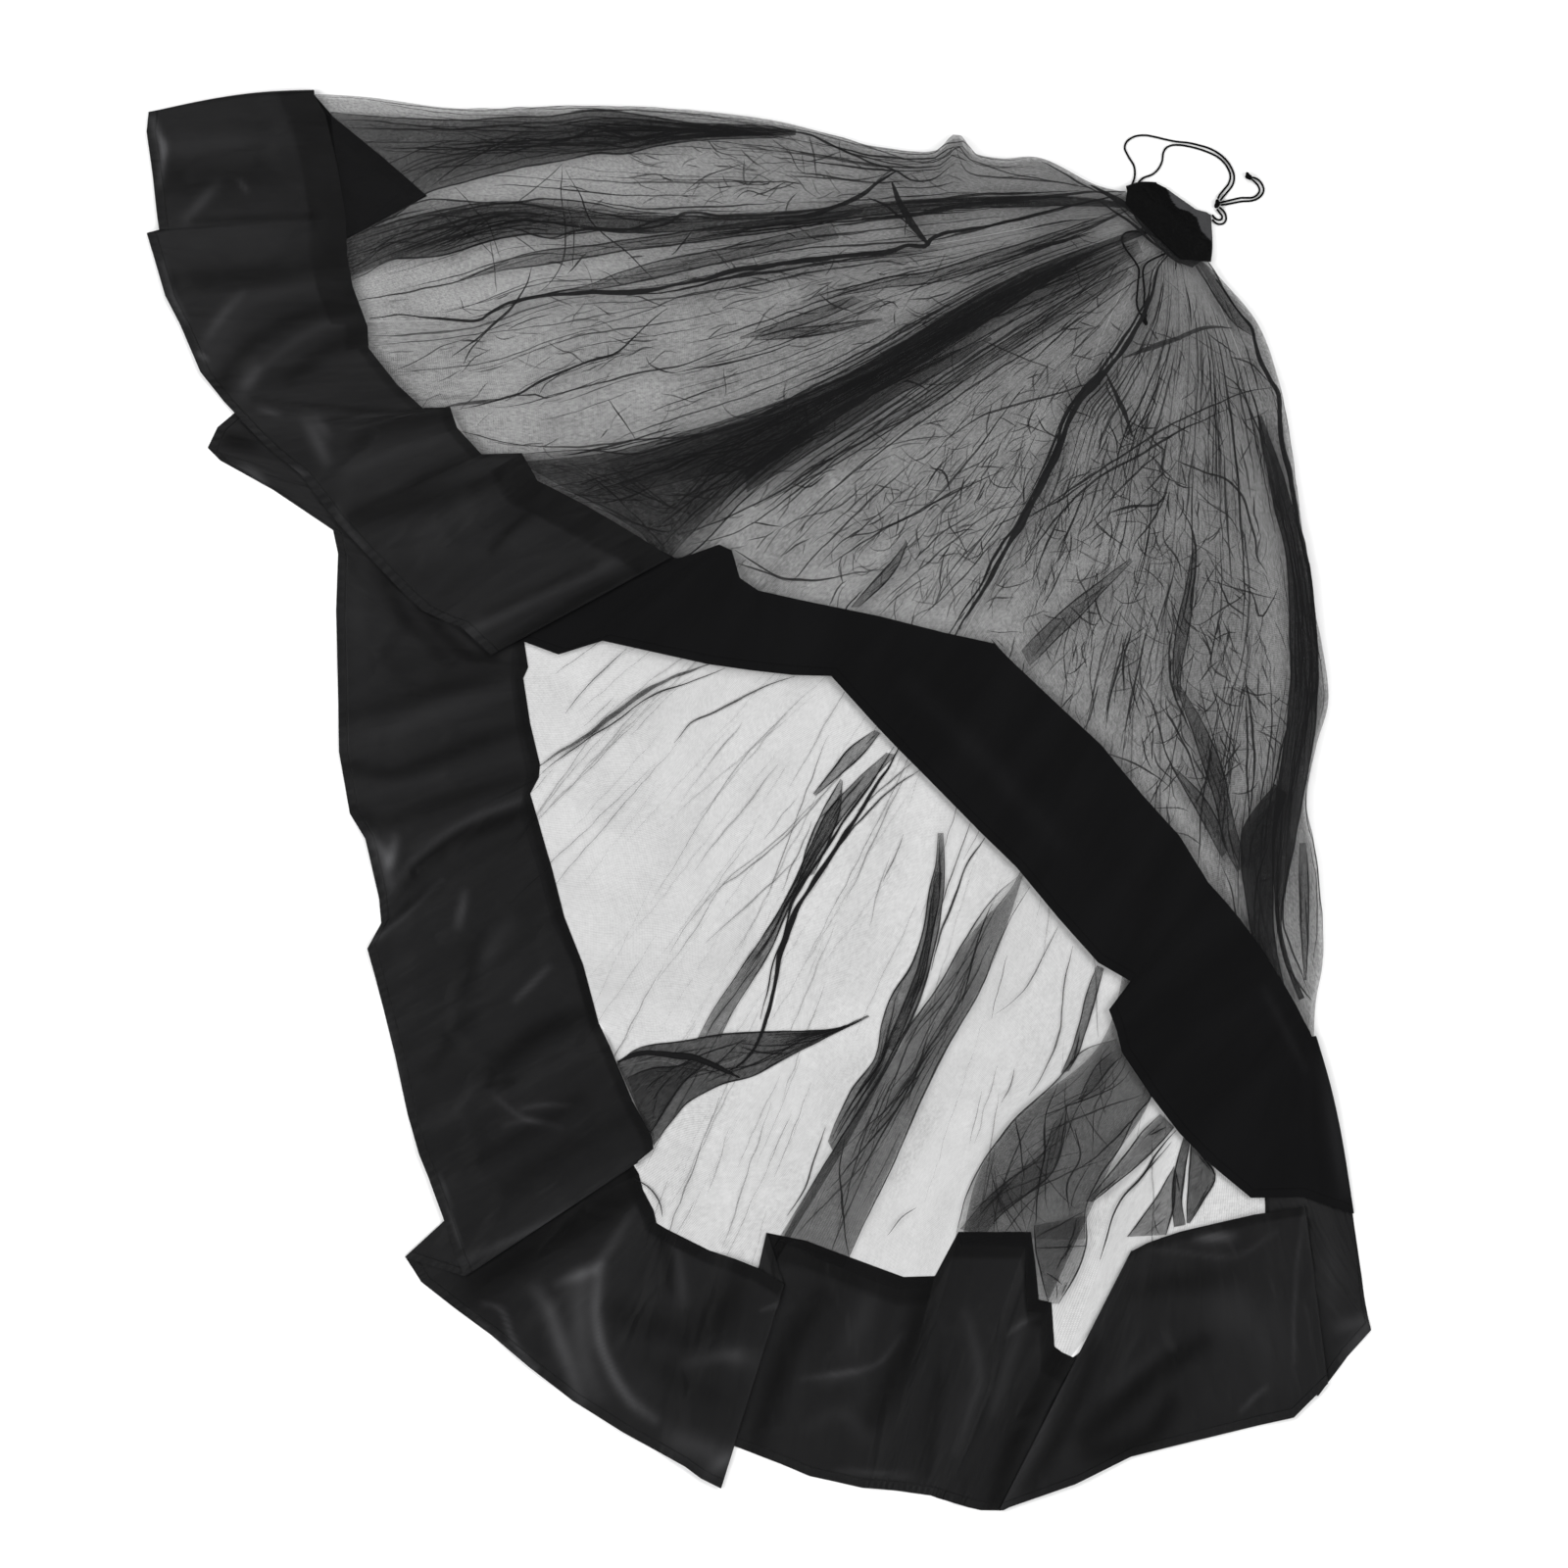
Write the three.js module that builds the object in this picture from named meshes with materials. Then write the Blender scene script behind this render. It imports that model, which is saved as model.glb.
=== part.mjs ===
import * as THREE from 'three';

// A hanging mosquito net tent, taken down and laid out on a flat surface.
// The net is a four-sided tent of four panels with a wide border round its hem.
// It lies folded flat: a front half over a back half, with the top end at the upper right.
// Millimetres, +Z up, +X to the right of the layout, +Y towards its upper edge.

// Plan of the layout: x runs right and y runs down, and one unit is this many millimetres.
const PLAN_UNIT = 1.2;
const PLAN_CENTRE = { x: 774.5, y: 818.3 };

// Cloth thicknesses.
const NET_THICKNESS = 1.0;
const BORDER_THICKNESS = 1.2;
const CAP_THICKNESS = 1.2;

// Heights of the middle of the cloth above the surface.
const FLOOR_NET = NET_THICKNESS / 2;
const FLOOR_BORDER = BORDER_THICKNESS / 2;
const FRONT = 12;
const FRONT_HEM = 4;
const PLEAT_STEP = 2.4;
const NET_STEP = 2.0;
const NET_STEP_AT_NECK = 1.35;
const NECK_FRONT = 8.6;
const NECK_BACK = 2.05;

// The net is lapped by the border: under it on the front, over it on the back.
const LAP_UNDER = 1.7;
const LAP_OVER = 1.85;
const LAP_UNITS = 11;
const RAISED_SHORT = 14;
const SEAM_HALF_GAP = 0.3;

// Cords.
const CORD_DIAMETER = 2.2;
const CORD_SIDES = 8;
const CORD_STEP = 3 * CORD_DIAMETER;
const CORD_REST = CORD_DIAMETER / 2 + 0.15;

const BLACK_NET = { color: 0x1b1b1c, roughness: 0.9, metalness: 0 };
const BLACK_TAFFETA = { color: 0x161617, roughness: 0.55, metalness: 0 };
const BLACK_CORD = { color: 0x111112, roughness: 0.8, metalness: 0 };

const tent = new THREE.Group();
tent.name = 'mosquito_net_tent';

// Plan point to the part's own frame.
function planX(x) {
  return (x - PLAN_CENTRE.x) * PLAN_UNIT;
}

function planY(y) {
  return (PLAN_CENTRE.y - y) * PLAN_UNIT;
}

function smooth(t) {
  const k = Math.min(1, Math.max(0, t));
  return k * k * (3 - 2 * k);
}

// One closed sheet round a middle surface. ribs is a list of ribs, each a list of points.
// With ring set, the last rib joins the first.
function closedSheet(ribs, thickness, ring = false) {
  const count = ribs.length;
  const rows = ribs[0].length;
  const positions = [];
  const across = new THREE.Vector3();
  const along = new THREE.Vector3();
  const normal = new THREE.Vector3();
  const rib = (i) => (ring ? ribs[(i + count) % count] : ribs[Math.min(count - 1, Math.max(0, i))]);
  for (let i = 0; i < count; i++) {
    for (let j = 0; j < rows; j++) {
      across.subVectors(rib(i + 1)[j], rib(i - 1)[j]);
      along.subVectors(ribs[i][Math.min(rows - 1, j + 1)], ribs[i][Math.max(0, j - 1)]);
      normal.crossVectors(across, along).normalize().multiplyScalar(thickness / 2);
      const p = ribs[i][j];
      positions.push(p.x + normal.x, p.y + normal.y, p.z + normal.z);
      positions.push(p.x - normal.x, p.y - normal.y, p.z - normal.z);
    }
  }
  const upper = (i, j) => ((i % count) * rows + j) * 2;
  const lower = (i, j) => upper(i, j) + 1;
  const index = [];
  const quad = (a, b, c, d) => index.push(a, b, c, a, c, d);
  const spans = ring ? count : count - 1;
  for (let i = 0; i < spans; i++) {
    for (let j = 0; j < rows - 1; j++) {
      quad(upper(i, j), upper(i + 1, j), upper(i + 1, j + 1), upper(i, j + 1));
      index.push(lower(i, j), lower(i + 1, j + 1), lower(i + 1, j));
      index.push(lower(i, j), lower(i, j + 1), lower(i + 1, j + 1));
    }
    quad(upper(i + 1, 0), upper(i, 0), lower(i, 0), lower(i + 1, 0));
    quad(upper(i, rows - 1), upper(i + 1, rows - 1), lower(i + 1, rows - 1), lower(i, rows - 1));
  }
  if (!ring) {
    const last = count - 1;
    for (let j = 0; j < rows - 1; j++) {
      quad(upper(0, j), upper(0, j + 1), lower(0, j + 1), lower(0, j));
      quad(upper(last, j + 1), upper(last, j), lower(last, j), lower(last, j + 1));
    }
  }
  const geometry = new THREE.BufferGeometry();
  geometry.setAttribute('position', new THREE.Float32BufferAttribute(positions, 3));
  geometry.setIndex(index);
  geometry.computeVertexNormals();
  return geometry;
}

// Ribs of a cloth that turns over at some stops. A stop is { points, turned }, where turned
// holds the same rib at the height on which the cloth goes on, and the turn is a half round.
const TURN_ANGLES = [Math.PI / 3, (2 * Math.PI) / 3];

function turnedRibs(stops) {
  const ribs = [];
  stops.forEach((stop, i) => {
    ribs.push(stop.points);
    if (!stop.turned) return;
    const before = stops[(i + stops.length - 1) % stops.length];
    const from = before.turned ?? before.points;
    const rows = stop.points.length;
    const side = stop.points.map((p, j) => {
      const a = stop.points[Math.max(0, j - 1)];
      const b = stop.points[Math.min(rows - 1, j + 1)];
      return new THREE.Vector3(a.y - b.y, b.x - a.x, 0).normalize();
    });
    const travel = side.reduce((sum, s, j) => sum + s.dot(stop.points[j].clone().sub(from[j])), 0);
    const sign = Math.sign(travel);
    for (const angle of TURN_ANGLES) {
      ribs.push(stop.points.map((p, j) => {
        const q = stop.turned[j];
        const radius = Math.abs(p.z - q.z) / 2;
        const point = p.clone().lerp(q, angle / Math.PI);
        point.addScaledVector(side[j], sign * radius * Math.sin(angle));
        point.z = (p.z + q.z) / 2 + ((p.z - q.z) / 2) * Math.cos(angle);
        return point;
      }));
    }
    ribs.push(stop.turned);
  });
  return ribs;
}

function addPiece(name, geometry, finish) {
  const mesh = new THREE.Mesh(geometry, new THREE.MeshStandardMaterial(finish));
  mesh.name = name;
  tent.add(mesh);
  return mesh;
}

// Border: one band of cloth round the whole hem, from the fold at the upper left along the
// front, round the fold at the right and back along the lower layer.
// Columns: inner x, inner y, outer x, outer y, inner height, outer height, swell in the middle,
// on a turn the inner and outer height on which the band goes on, and how far the fold bows out.
const B0 = FLOOR_BORDER;
const B1 = FLOOR_BORDER + PLEAT_STEP;
const B2 = FLOOR_BORDER + 2 * PLEAT_STEP;
const F1 = FRONT + PLEAT_STEP;
const F2 = FRONT + 2 * PLEAT_STEP;
const H1 = FRONT_HEM + PLEAT_STEP;
const H2 = FRONT_HEM + 2 * PLEAT_STEP;
const OVER_NET = 9;

const FRONT_BAND = [
  [321, 100, 152, 117, B0, B0, 0, FRONT, FRONT_HEM],
  [333, 118, 150, 135, FRONT, FRONT_HEM, 1.5],
  [345, 170, 156, 178, FRONT, FRONT_HEM, 0],
  [351, 205, 161, 222, FRONT, 6, 2.5],
  [353, 216, 163, 235, FRONT, 6.5, 2],
  [354, 226, 150, 238, FRONT, FRONT_HEM, 0],
  [355, 262, 157, 261, FRONT, FRONT_HEM, 0],
  [361, 294, 169, 302, FRONT, 5.5, 3],
  [376, 334, 184, 331, FRONT, FRONT_HEM, 0],
  [377, 356, 205, 380, FRONT, 5.5, 3.5],
  [406, 393, 228, 409, FRONT, FRONT_HEM, 0],
  [432, 417, 254, 437, FRONT, 5.5, 2.5],
  [460, 416, 278, 461, FRONT, FRONT_HEM, 0],
  [467, 437, 306, 483, FRONT, FRONT_HEM, 0],
  [492, 464, 345, 534, FRONT, 6, 4],
  [533, 463, 370, 561, FRONT, 5, 0],
  [549, 491, 405, 598, FRONT, 6, 3.5],
  [596, 515, 431, 623, FRONT, FRONT_HEM, 0],
  [632, 536, 455, 634, FRONT, FRONT_HEM, 0],
  [650, 547, 471, 640, F2, H2, 0],
  [685, 569, 501, 668, F2, H2, 0, F1, H1],
  [668, 559, 487, 655, F1, H1, 0, FRONT, FRONT_HEM],
  [692, 571, 535, 655, FRONT, FRONT_HEM, 0],
  [703, 567, 570, 668, FRONT, 5, 0],
  [734, 556, 615, 654, FRONT, 6, 1],
  [747, 562, 660, 664, FRONT, 8, 0],
  [755, 590, 723, 678, FRONT, OVER_NET, 0],
  [774, 603, 765, 684, FRONT, OVER_NET, 0],
  [819, 613, 809, 689, FRONT, OVER_NET, 0],
  [897, 629, 848, 690, FRONT, OVER_NET, 0],
  [964, 646, 895, 742, FRONT, OVER_NET, 1.5],
  [1015, 657, 918, 766, FRONT, OVER_NET, 0],
  [1028, 671, 941, 789, FRONT, OVER_NET, 0],
  [1082, 722, 1000, 849, FRONT, OVER_NET, 2],
  [1123, 760, 1037, 885, FRONT, OVER_NET, 0],
  [1165, 811, 1079, 936, FRONT, OVER_NET, 2],
  [1203, 853, 1120, 982, FRONT, OVER_NET, 0],
  [1232, 900, 1153, 1001, FRONT, OVER_NET, 0],
  [1250, 920, 1131, 1030, FRONT, OVER_NET, 2],
  [1265, 938, 1139, 1051, FRONT, OVER_NET, 0],
  [1288, 970, 1144, 1073, FRONT, OVER_NET, 0],
  [1310, 1005, 1174, 1118, FRONT, OVER_NET, 2],
  [1322, 1026, 1203, 1156, FRONT, 8, 0],
  [1329, 1040, 1235, 1188, FRONT, 6.5, 0],
  [1334, 1049, 1276, 1222, FRONT, 5, 2],
  [1336, 1053, 1330, 1221, FRONT, FRONT_HEM, 0],
  [1338, 1058, 1380, 1238, FRONT, FRONT_HEM, 0, B0, B0, 4],
];

const BACK_BAND = [
  [1306, 1112, 1389, 1300, B0, B0, 0],
  [1293, 1158, 1392, 1323, B0, B0, 1],
  [1289, 1200, 1396, 1345, B0, B0, 0],
  [1291, 1230, 1399, 1357, B0, B0, 0],
  [1291, 1246, 1375, 1384, B0, B0, 0],
  [1290, 1256, 1345, 1424, B0, B0, 0, B1, B1],
  [1331, 1231, 1354, 1412, B1, B1, 0, B2, B2],
  [1279, 1239, 1320, 1446, B2, B2, 0],
  [1240, 1248, 1285, 1454, 4, 2.5, 2],
  [1206, 1256, 1215, 1471, 3, 2, 0],
  [1187, 1262, 1154, 1486, 4, 3.5, 4],
  [1170, 1268, 1097, 1514, B2, B2, 0],
  [1155, 1276, 1020, 1541, B2, B2, 0, B1, B1],
  [1165, 1330, 1064, 1521, B1, B1, 0, B0, B0],
  [1095, 1385, 1024, 1541, B0, B0, 0],
  [1084, 1380, 1001, 1541, B0, B0, 0],
  [1076, 1374, 988, 1538, B0, B0, 0],
  [1073, 1329, 975, 1534, B0, 2, 2],
  [1060, 1326, 965, 1531, B0, B0, 0],
  [1057, 1294, 958, 1529, B0, B0, 0],
  [1052, 1257, 950, 1526, B0, B0, 2.5],
  [978, 1257, 915, 1521, B0, B0, 0],
  [954, 1302, 895, 1519, B0, 2, 1],
  [922, 1303, 880, 1518, B0, B0, 0],
  [865, 1282, 826, 1506, B0, B0, 3],
  [823, 1266, 795, 1493, B0, B0, 0],
  [783, 1258, 735, 1470, B0, B0, 0, B1, B1],
  [800, 1310, 735, 1518, B1, B1, 0, B2, B2],
  [775, 1294, 715, 1508, B2, B2, 1],
  [750, 1284, 699, 1496, B2, B2, 2],
  [724, 1276, 662, 1476, B0, B0, 0],
  [692, 1260, 635, 1461, B0, 2, 5],
  [680, 1254, 584, 1429, B0, B0, 0],
  [670, 1248, 539, 1394, B0, 3, 6],
  [667, 1235, 501, 1362, B0, B0, 0],
  [656, 1214, 463, 1334, B0, 1, 1.5],
  [652, 1198, 430, 1308, B0, B0, 0],
  [600, 1112, 414, 1283, B0, B0, 0, B1, B1],
  [651, 1185, 474, 1302, B1, B1, 0, B2, B2],
  [667, 1172, 470, 1292, B2, B2, 0],
  [665, 1159, 466, 1283, B2, B2, 1],
  [646, 1124, 452, 1241, B2, B2, 0],
  [630, 1086, 437, 1200, B2, B2, 1],
  [622, 1066, 428, 1178, B2, B2, 0],
  [611, 1044, 416, 1137, B0, B0, 0],
  [595, 984, 403, 1076, B0, 2, 3.5],
  [576, 936, 392, 1032, B0, B0, 0],
  [563, 885, 383, 997, B0, 2, 4],
  [557, 865, 375, 968, B0, 4, 3],
  [550, 840, 389, 942, B0, B0, 0],
  [541, 810, 387, 917, B0, 2, 4],
  [550, 793, 373, 856, B0, 3, 5],
  [551, 780, 357, 830, B0, B0, 0],
  [541, 738, 346, 767, B0, 2, 4],
  [534, 692, 345, 706, B0, B0, 0],
  [539, 681, 344, 660, B0, 1.5, 3],
  [535, 655, 343, 623, B0, B0, 0],
  [515, 620, 345, 565, B0, B0, 0],
  [495, 590, 340, 541, B0, B0, 0],
  [470, 560, 279, 500, B0, B0, 1],
  [450, 530, 225, 470, B0, B0, 0],
  [430, 500, 212, 457, B0, B0, 0],
  [415, 470, 222, 436, B0, B0, 0],
  [400, 440, 246, 416, B0, B0, 0],
  [370, 350, 215, 345, B0, B0, 0],
  [352, 290, 190, 280, B0, B0, 0],
  [352, 245, 190, 245, B0, B0, 0],
  [436, 200, 215, 190, B0, B0, 0],
  [390, 160, 195, 155, B0, B0, 0],
  [341, 120, 165, 130, B0, B0, 0],
];

// Share of the band's width at which its rows of points lie.
const BAND_ROWS = [0, 0.1, 0.4, 0.7, 1];
const SEAM_SHARE = 0.1;

function bandStop([ix, iy, ox, oy, innerHeight, outerHeight, swell, innerOn, outerOn, bow = 0]) {
  const rib = (inner, outer) => BAND_ROWS.map((v) => {
    const x = THREE.MathUtils.lerp(planX(ix), planX(ox), v) + bow * PLAN_UNIT * Math.sin(Math.PI * v);
    const y = THREE.MathUtils.lerp(planY(iy), planY(oy), v);
    const slope = smooth((v - SEAM_SHARE) / (1 - SEAM_SHARE));
    const z = THREE.MathUtils.lerp(inner, outer, slope) + swell * Math.sin(Math.PI * v) ** 2;
    return new THREE.Vector3(x, y, z);
  });
  const stop = { points: rib(innerHeight, outerHeight) };
  if (innerOn !== undefined) stop.turned = rib(innerOn, outerOn);
  return stop;
}

const bandStops = [...FRONT_BAND, ...BACK_BAND].map(bandStop);
addPiece('border', closedSheet(turnedRibs(bandStops), BORDER_THICKNESS, true), BLACK_TAFFETA);

const BACK_HEM = FLOOR_BORDER + LAP_OVER;

// Net: key ribs run from the gathered neck to the hem. neck is the place along the neck,
// from the upper left fold at 0 to the right fold at 1. The last point is on the hem.
const NECK_LEFT = { x: 1164, y: 205 };
const NECK_RIGHT = { x: 1213, y: 256 };
const NECK_SHARE = 0.03;
const RISE_SHARE = 0.12;

const KEY_RIBS = {
  leftFold: {
    neck: 0,
    line: [[1150, 200], [1117, 192], [1059, 166], [1021, 167], [990, 160], [976, 142], [958, 158],
      [899, 157], [851, 144], [787, 128], [691, 117], [586, 114], [476, 116], [374, 103], [322, 100],
      [313, 101]],
  },
  tuckUpper: {
    neck: 0.12,
    line: [[1100, 203], [940, 205], [820, 216], [640, 222], [520, 207], [440, 218], [348, 243]],
  },
  tuckLower: {
    neck: 0.19,
    line: [[1105, 211], [940, 216], [820, 229], [640, 238], [520, 226], [440, 252], [349, 287]],
  },
  upperSeam: {
    neck: 0.3,
    line: [[1120, 222], [940, 252], [820, 262], [680, 290], [560, 300], [480, 325], [368, 329]],
  },
  pleatUpper: {
    neck: 0.43,
    line: [[1130, 246], [1060, 272], [1000, 302], [860, 385], [740, 430], [620, 463], [529, 472]],
  },
  pleatLower: {
    neck: 0.51,
    line: [[1133, 254], [1090, 276], [1000, 333], [860, 423], [760, 492], [705, 545], [678, 577]],
  },
  middleSeam: {
    neck: 0.62,
    line: [[1184, 266], [1168, 322], [1123, 386], [1098, 412], [1066, 491], [1034, 550], [970, 656]],
  },
  rightSeam: {
    neck: 0.9,
    line: [[1233, 290], [1270, 380], [1302, 502], [1320, 590], [1330, 687], [1318, 767], [1311, 830],
      [1303, 920], [1303, 1011]],
  },
  rightFold: {
    neck: 1,
    line: [[1218, 264], [1232, 275], [1247, 291], [1279, 333], [1302, 400], [1318, 500], [1333, 610], [1343, 655],
      [1350, 716], [1338, 760], [1328, 821], [1339, 880], [1346, 978], [1339, 1020], [1336.8, 1055],
      [1339.3, 1065.8]],
  },
  backRight: {
    neck: 0.9,
    line: [[1236, 330], [1268, 600], [1290, 900], [1281, 1228]],
  },
  backFlap: {
    neck: 0.83,
    line: [[1226, 330], [1238, 600], [1238, 900], [1208, 1110], [1160, 1286]],
  },
  darkRight: {
    neck: 0.72,
    line: [[1213, 330], [1185, 700], [1184, 1000], [1174, 1118], [1136, 1182], [1107, 1245], [1066, 1335]],
  },
  darkLeft: {
    neck: 0.64,
    line: [[1203, 330], [1158, 700], [1145, 1000], [1120, 1070], [1037, 1140], [1000, 1195], [981, 1265]],
  },
  stripRight: {
    neck: 0.52,
    line: [[1190, 330], [1112, 640], [1050, 870], [1011, 985], [967, 1068], [916, 1173], [863, 1290]],
  },
  stripLeft: {
    neck: 0.44,
    line: [[1181, 330], [1088, 640], [1015, 870], [972, 985], [925, 1055], [860, 1160], [800, 1262]],
  },
  backSeam: {
    neck: 0.3,
    line: [[1130, 330], [1050, 520], [918, 762], [803, 950], [788, 1030], [762, 1075], [710, 1090],
      [672, 1082], [625, 1090]],
  },
};

// Places along a rib, from the neck; the last two rows are set by LAP_UNITS.
const RIB_ROWS = [0, 0.025, 0.06, 0.11, 0.17, 0.21, 0.238, 0.265, 0.32, 0.4, 0.5, 0.6, 0.7, 0.79, 0.87, 0.94];
const HEM_ROWS = 4;
const HEM_PULL = 3;
const LAYER_FRONT = 'front';
const LAYER_BACK = 'back';

for (const key of Object.values(KEY_RIBS)) {
  const x = THREE.MathUtils.lerp(NECK_LEFT.x, NECK_RIGHT.x, key.neck);
  const y = THREE.MathUtils.lerp(NECK_LEFT.y, NECK_RIGHT.y, key.neck);
  const points = [[x, y], ...key.line].map(([px, py]) => new THREE.Vector3(planX(px), planY(py), 0));
  key.curve = new THREE.CatmullRomCurve3(points, false, 'centripetal');
  key.hem = points[points.length - 1];
  key.name = Object.keys(KEY_RIBS).find((name) => KEY_RIBS[name] === key);
}

// Height of the net at a share of the rib, before laps: low at the neck, where it is gathered.
function netHeight(layer, share) {
  const neckShare = 1 - smooth((share - NECK_SHARE) / RISE_SHARE);
  if (layer === LAYER_FRONT) return THREE.MathUtils.lerp(FRONT, NECK_FRONT, neckShare);
  return THREE.MathUtils.lerp(FLOOR_NET, NECK_BACK, neckShare);
}

// One rib between two key ribs. w is its place between them, hem its own point on the hem,
// level its layer in a pleat and lift the height of a soft ridge along it.
function netRib({ from, to, w, hem, layer, level = 0, lift = 0, shift = 0, hemHeight, short = false }) {
  const target = hem ?? from.hem.clone().lerp(to.hem, w);
  const correction = target.clone().sub(from.hem.clone().lerp(to.hem, w));
  const at = (share) => {
    const point = from.curve.getPointAt(share).lerp(to.curve.getPointAt(share), w);
    return point.addScaledVector(correction, share ** HEM_PULL);
  };
  const length = THREE.MathUtils.lerp(from.curve.getLength(), to.curve.getLength(), w);
  const lapShare = (LAP_UNITS * PLAN_UNIT) / length;
  const end = short && layer === LAYER_FRONT ? 1 - (RAISED_SHORT * PLAN_UNIT) / length : 1;
  const shares = [...RIB_ROWS.map((r) => r * (end - lapShare * 1.6)), end - lapShare, end];
  const points = shares.map((share, row) => {
    const point = at(share);
    const opened = smooth((share - NECK_SHARE) / RISE_SHARE);
    const step = THREE.MathUtils.lerp(NET_STEP_AT_NECK, NET_STEP, opened);
    const fromHem = shares.length - row;
    let base = netHeight(layer, share) + lift * Math.sin(Math.PI * share) ** 2;
    if (fromHem <= HEM_ROWS) base = layer === LAYER_FRONT ? FRONT - LAP_UNDER : hemHeight ?? BACK_HEM;
    point.z = base + level * step;
    return point;
  });
  if (shift !== 0) {
    points.forEach((p, j) => {
      const a = points[Math.max(0, j - 1)];
      const b = points[Math.min(points.length - 1, j + 1)];
      const side = new THREE.Vector3(a.y - b.y, b.x - a.x, 0).normalize();
      p.addScaledVector(side, shift);
    });
  }
  return points;
}

// The ribs that follow a key rib up to the next one, with the hem's own points between them.
// A hem point has columns x, y, lift and, on the back, the height of the hem, or it is an
// object that also sets the layer of a pleat that the net climbs to.
function span(fromName, toName, hemPoints, layer, level = 0) {
  const from = KEY_RIBS[fromName];
  const to = KEY_RIBS[toName];
  const hems = hemPoints.map((point) => {
    const [x, y, lift = 0, hemHeight] = point.place ?? point;
    return { level, hem: new THREE.Vector3(planX(x), planY(y), 0), lift, hemHeight, ...point.set };
  });
  const route = [from.hem, ...hems.map((h) => h.hem), to.hem];
  const lengths = route.slice(1).map((p, i) => p.distanceTo(route[i]));
  const total = lengths.reduce((a, b) => a + b, 0);
  let run = 0;
  const stops = hems.map((h, i) => {
    run += lengths[i];
    return { points: netRib({ from, to, w: run / total, layer, ...h }) };
  });
  stops.push(edge(toName, layer, 0, level));
  return stops;
}

// A rib on a key rib itself, moved sideways by shift.
function edge(name, layer, shift = 0, level = 0) {
  const key = KEY_RIBS[name];
  const { hemHeight, short } = key;
  return { points: netRib({ from: key, to: key, w: 0, layer, level, shift, hemHeight, short }) };
}

function turn(name, fromLayer, toLayer, fromLevel = 0, toLevel = 0) {
  const stop = edge(name, fromLayer, 0, fromLevel);
  stop.turned = edge(name, toLayer, 0, toLevel).points;
  return stop;
}

// The foot and the top of the short ramp by which the net climbs onto a pleat.
function foot(x, y) {
  return { place: [x, y], set: { short: true } };
}

function top(x, y) {
  return { place: [x, y], set: { short: true, level: 2 } };
}

// A knife pleat between two key ribs: along the top, back underneath and on below. low and
// raised are the points of the hem of its lowest layer and of the two upon it.
function pleat(first, second, low, raised, layer) {
  return [
    edge(first, layer, 0, 2),
    ...open(span(first, second, raised, layer, 2)),
    turn(second, layer, layer, 2, 1),
    ...open(span(second, first, [...raised].reverse(), layer, 1)),
    turn(first, layer, layer, 1, 0),
    ...span(first, second, low, layer, 0),
  ];
}

// Without its last stop, a span leaves its end to a shifted edge, a turn or a ramp.
function open(stops) {
  return stops.slice(0, -1);
}

const OPEN_HEM = FLOOR_NET + 0.3;
KEY_RIBS.backFlap.hemHeight = OPEN_HEM;
KEY_RIBS.backSeam.hemHeight = OPEN_HEM;
for (const name of ['tuckUpper', 'tuckLower', 'pleatUpper', 'pleatLower']) KEY_RIBS[name].short = true;

// Upper left panel, round the upper left fold: back part from the back seam, then front.
const leftPanel = [
  edge('backSeam', LAYER_BACK, -SEAM_HALF_GAP),
  ...open(span('backSeam', 'leftFold', [[629, 1070, 0, OPEN_HEM], [620, 1047, 0, 1.4],
    [603, 1030], [590, 984], [568, 940, 2], [552, 880],
    [535, 828, 1.5], [542, 790], [532, 740, 2], [526, 693], [528, 657, 2], [506, 624], [462, 565, 1.5],
    [422, 505], [393, 445], [362, 352], [344, 296], [344, 250], [426, 202], [384, 170], [330, 124]],
  LAYER_BACK)),
  turn('leftFold', LAYER_BACK, LAYER_FRONT),
  ...open(span('leftFold', 'tuckUpper', [[325, 121, 1], foot(337, 172), top(344, 214)], LAYER_FRONT)),
  ...pleat('tuckUpper', 'tuckLower', [], [], LAYER_FRONT),
  edge('upperSeam', LAYER_FRONT, -SEAM_HALF_GAP),
];
addPiece('net_left_panel', closedSheet(turnedRibs(leftPanel), NET_THICKNESS), BLACK_NET);

// Upper front panel, between the upper seam and the middle seam, with the wide dark pleat.
const upperPanel = [
  edge('upperSeam', LAYER_FRONT, SEAM_HALF_GAP),
  ...open(span('upperSeam', 'pleatUpper', [[369, 358, 2], [397, 400], [440, 423],
    foot(462, 424), top(488, 468)],
  LAYER_FRONT)),
  ...pleat('pleatUpper', 'pleatLower', [[545, 499], [592, 524], [645, 553]],
    [[564, 488], [610, 512], [658, 541]], LAYER_FRONT),
  ...open(span('pleatLower', 'middleSeam', [[700, 577], [733, 567, 2.5], [749, 598], [818, 621, 2],
    [896, 638]], LAYER_FRONT)),
  edge('middleSeam', LAYER_FRONT, -SEAM_HALF_GAP),
];
addPiece('net_upper_panel', closedSheet(turnedRibs(upperPanel), NET_THICKNESS), BLACK_NET);

// Lower front panel, between the middle seam and the right seam.
const lowerPanel = [
  edge('middleSeam', LAYER_FRONT, SEAM_HALF_GAP),
  ...open(span('middleSeam', 'rightSeam', [[1010, 665, 2.5], [1041, 692], [1076, 729, 3], [1117, 766],
    [1159, 817, 3], [1197, 859], [1225, 905, 3], [1258, 942]], LAYER_FRONT)),
  edge('rightSeam', LAYER_FRONT, -SEAM_HALF_GAP),
];
addPiece('net_lower_panel', closedSheet(turnedRibs(lowerPanel), NET_THICKNESS), BLACK_NET);

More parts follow.
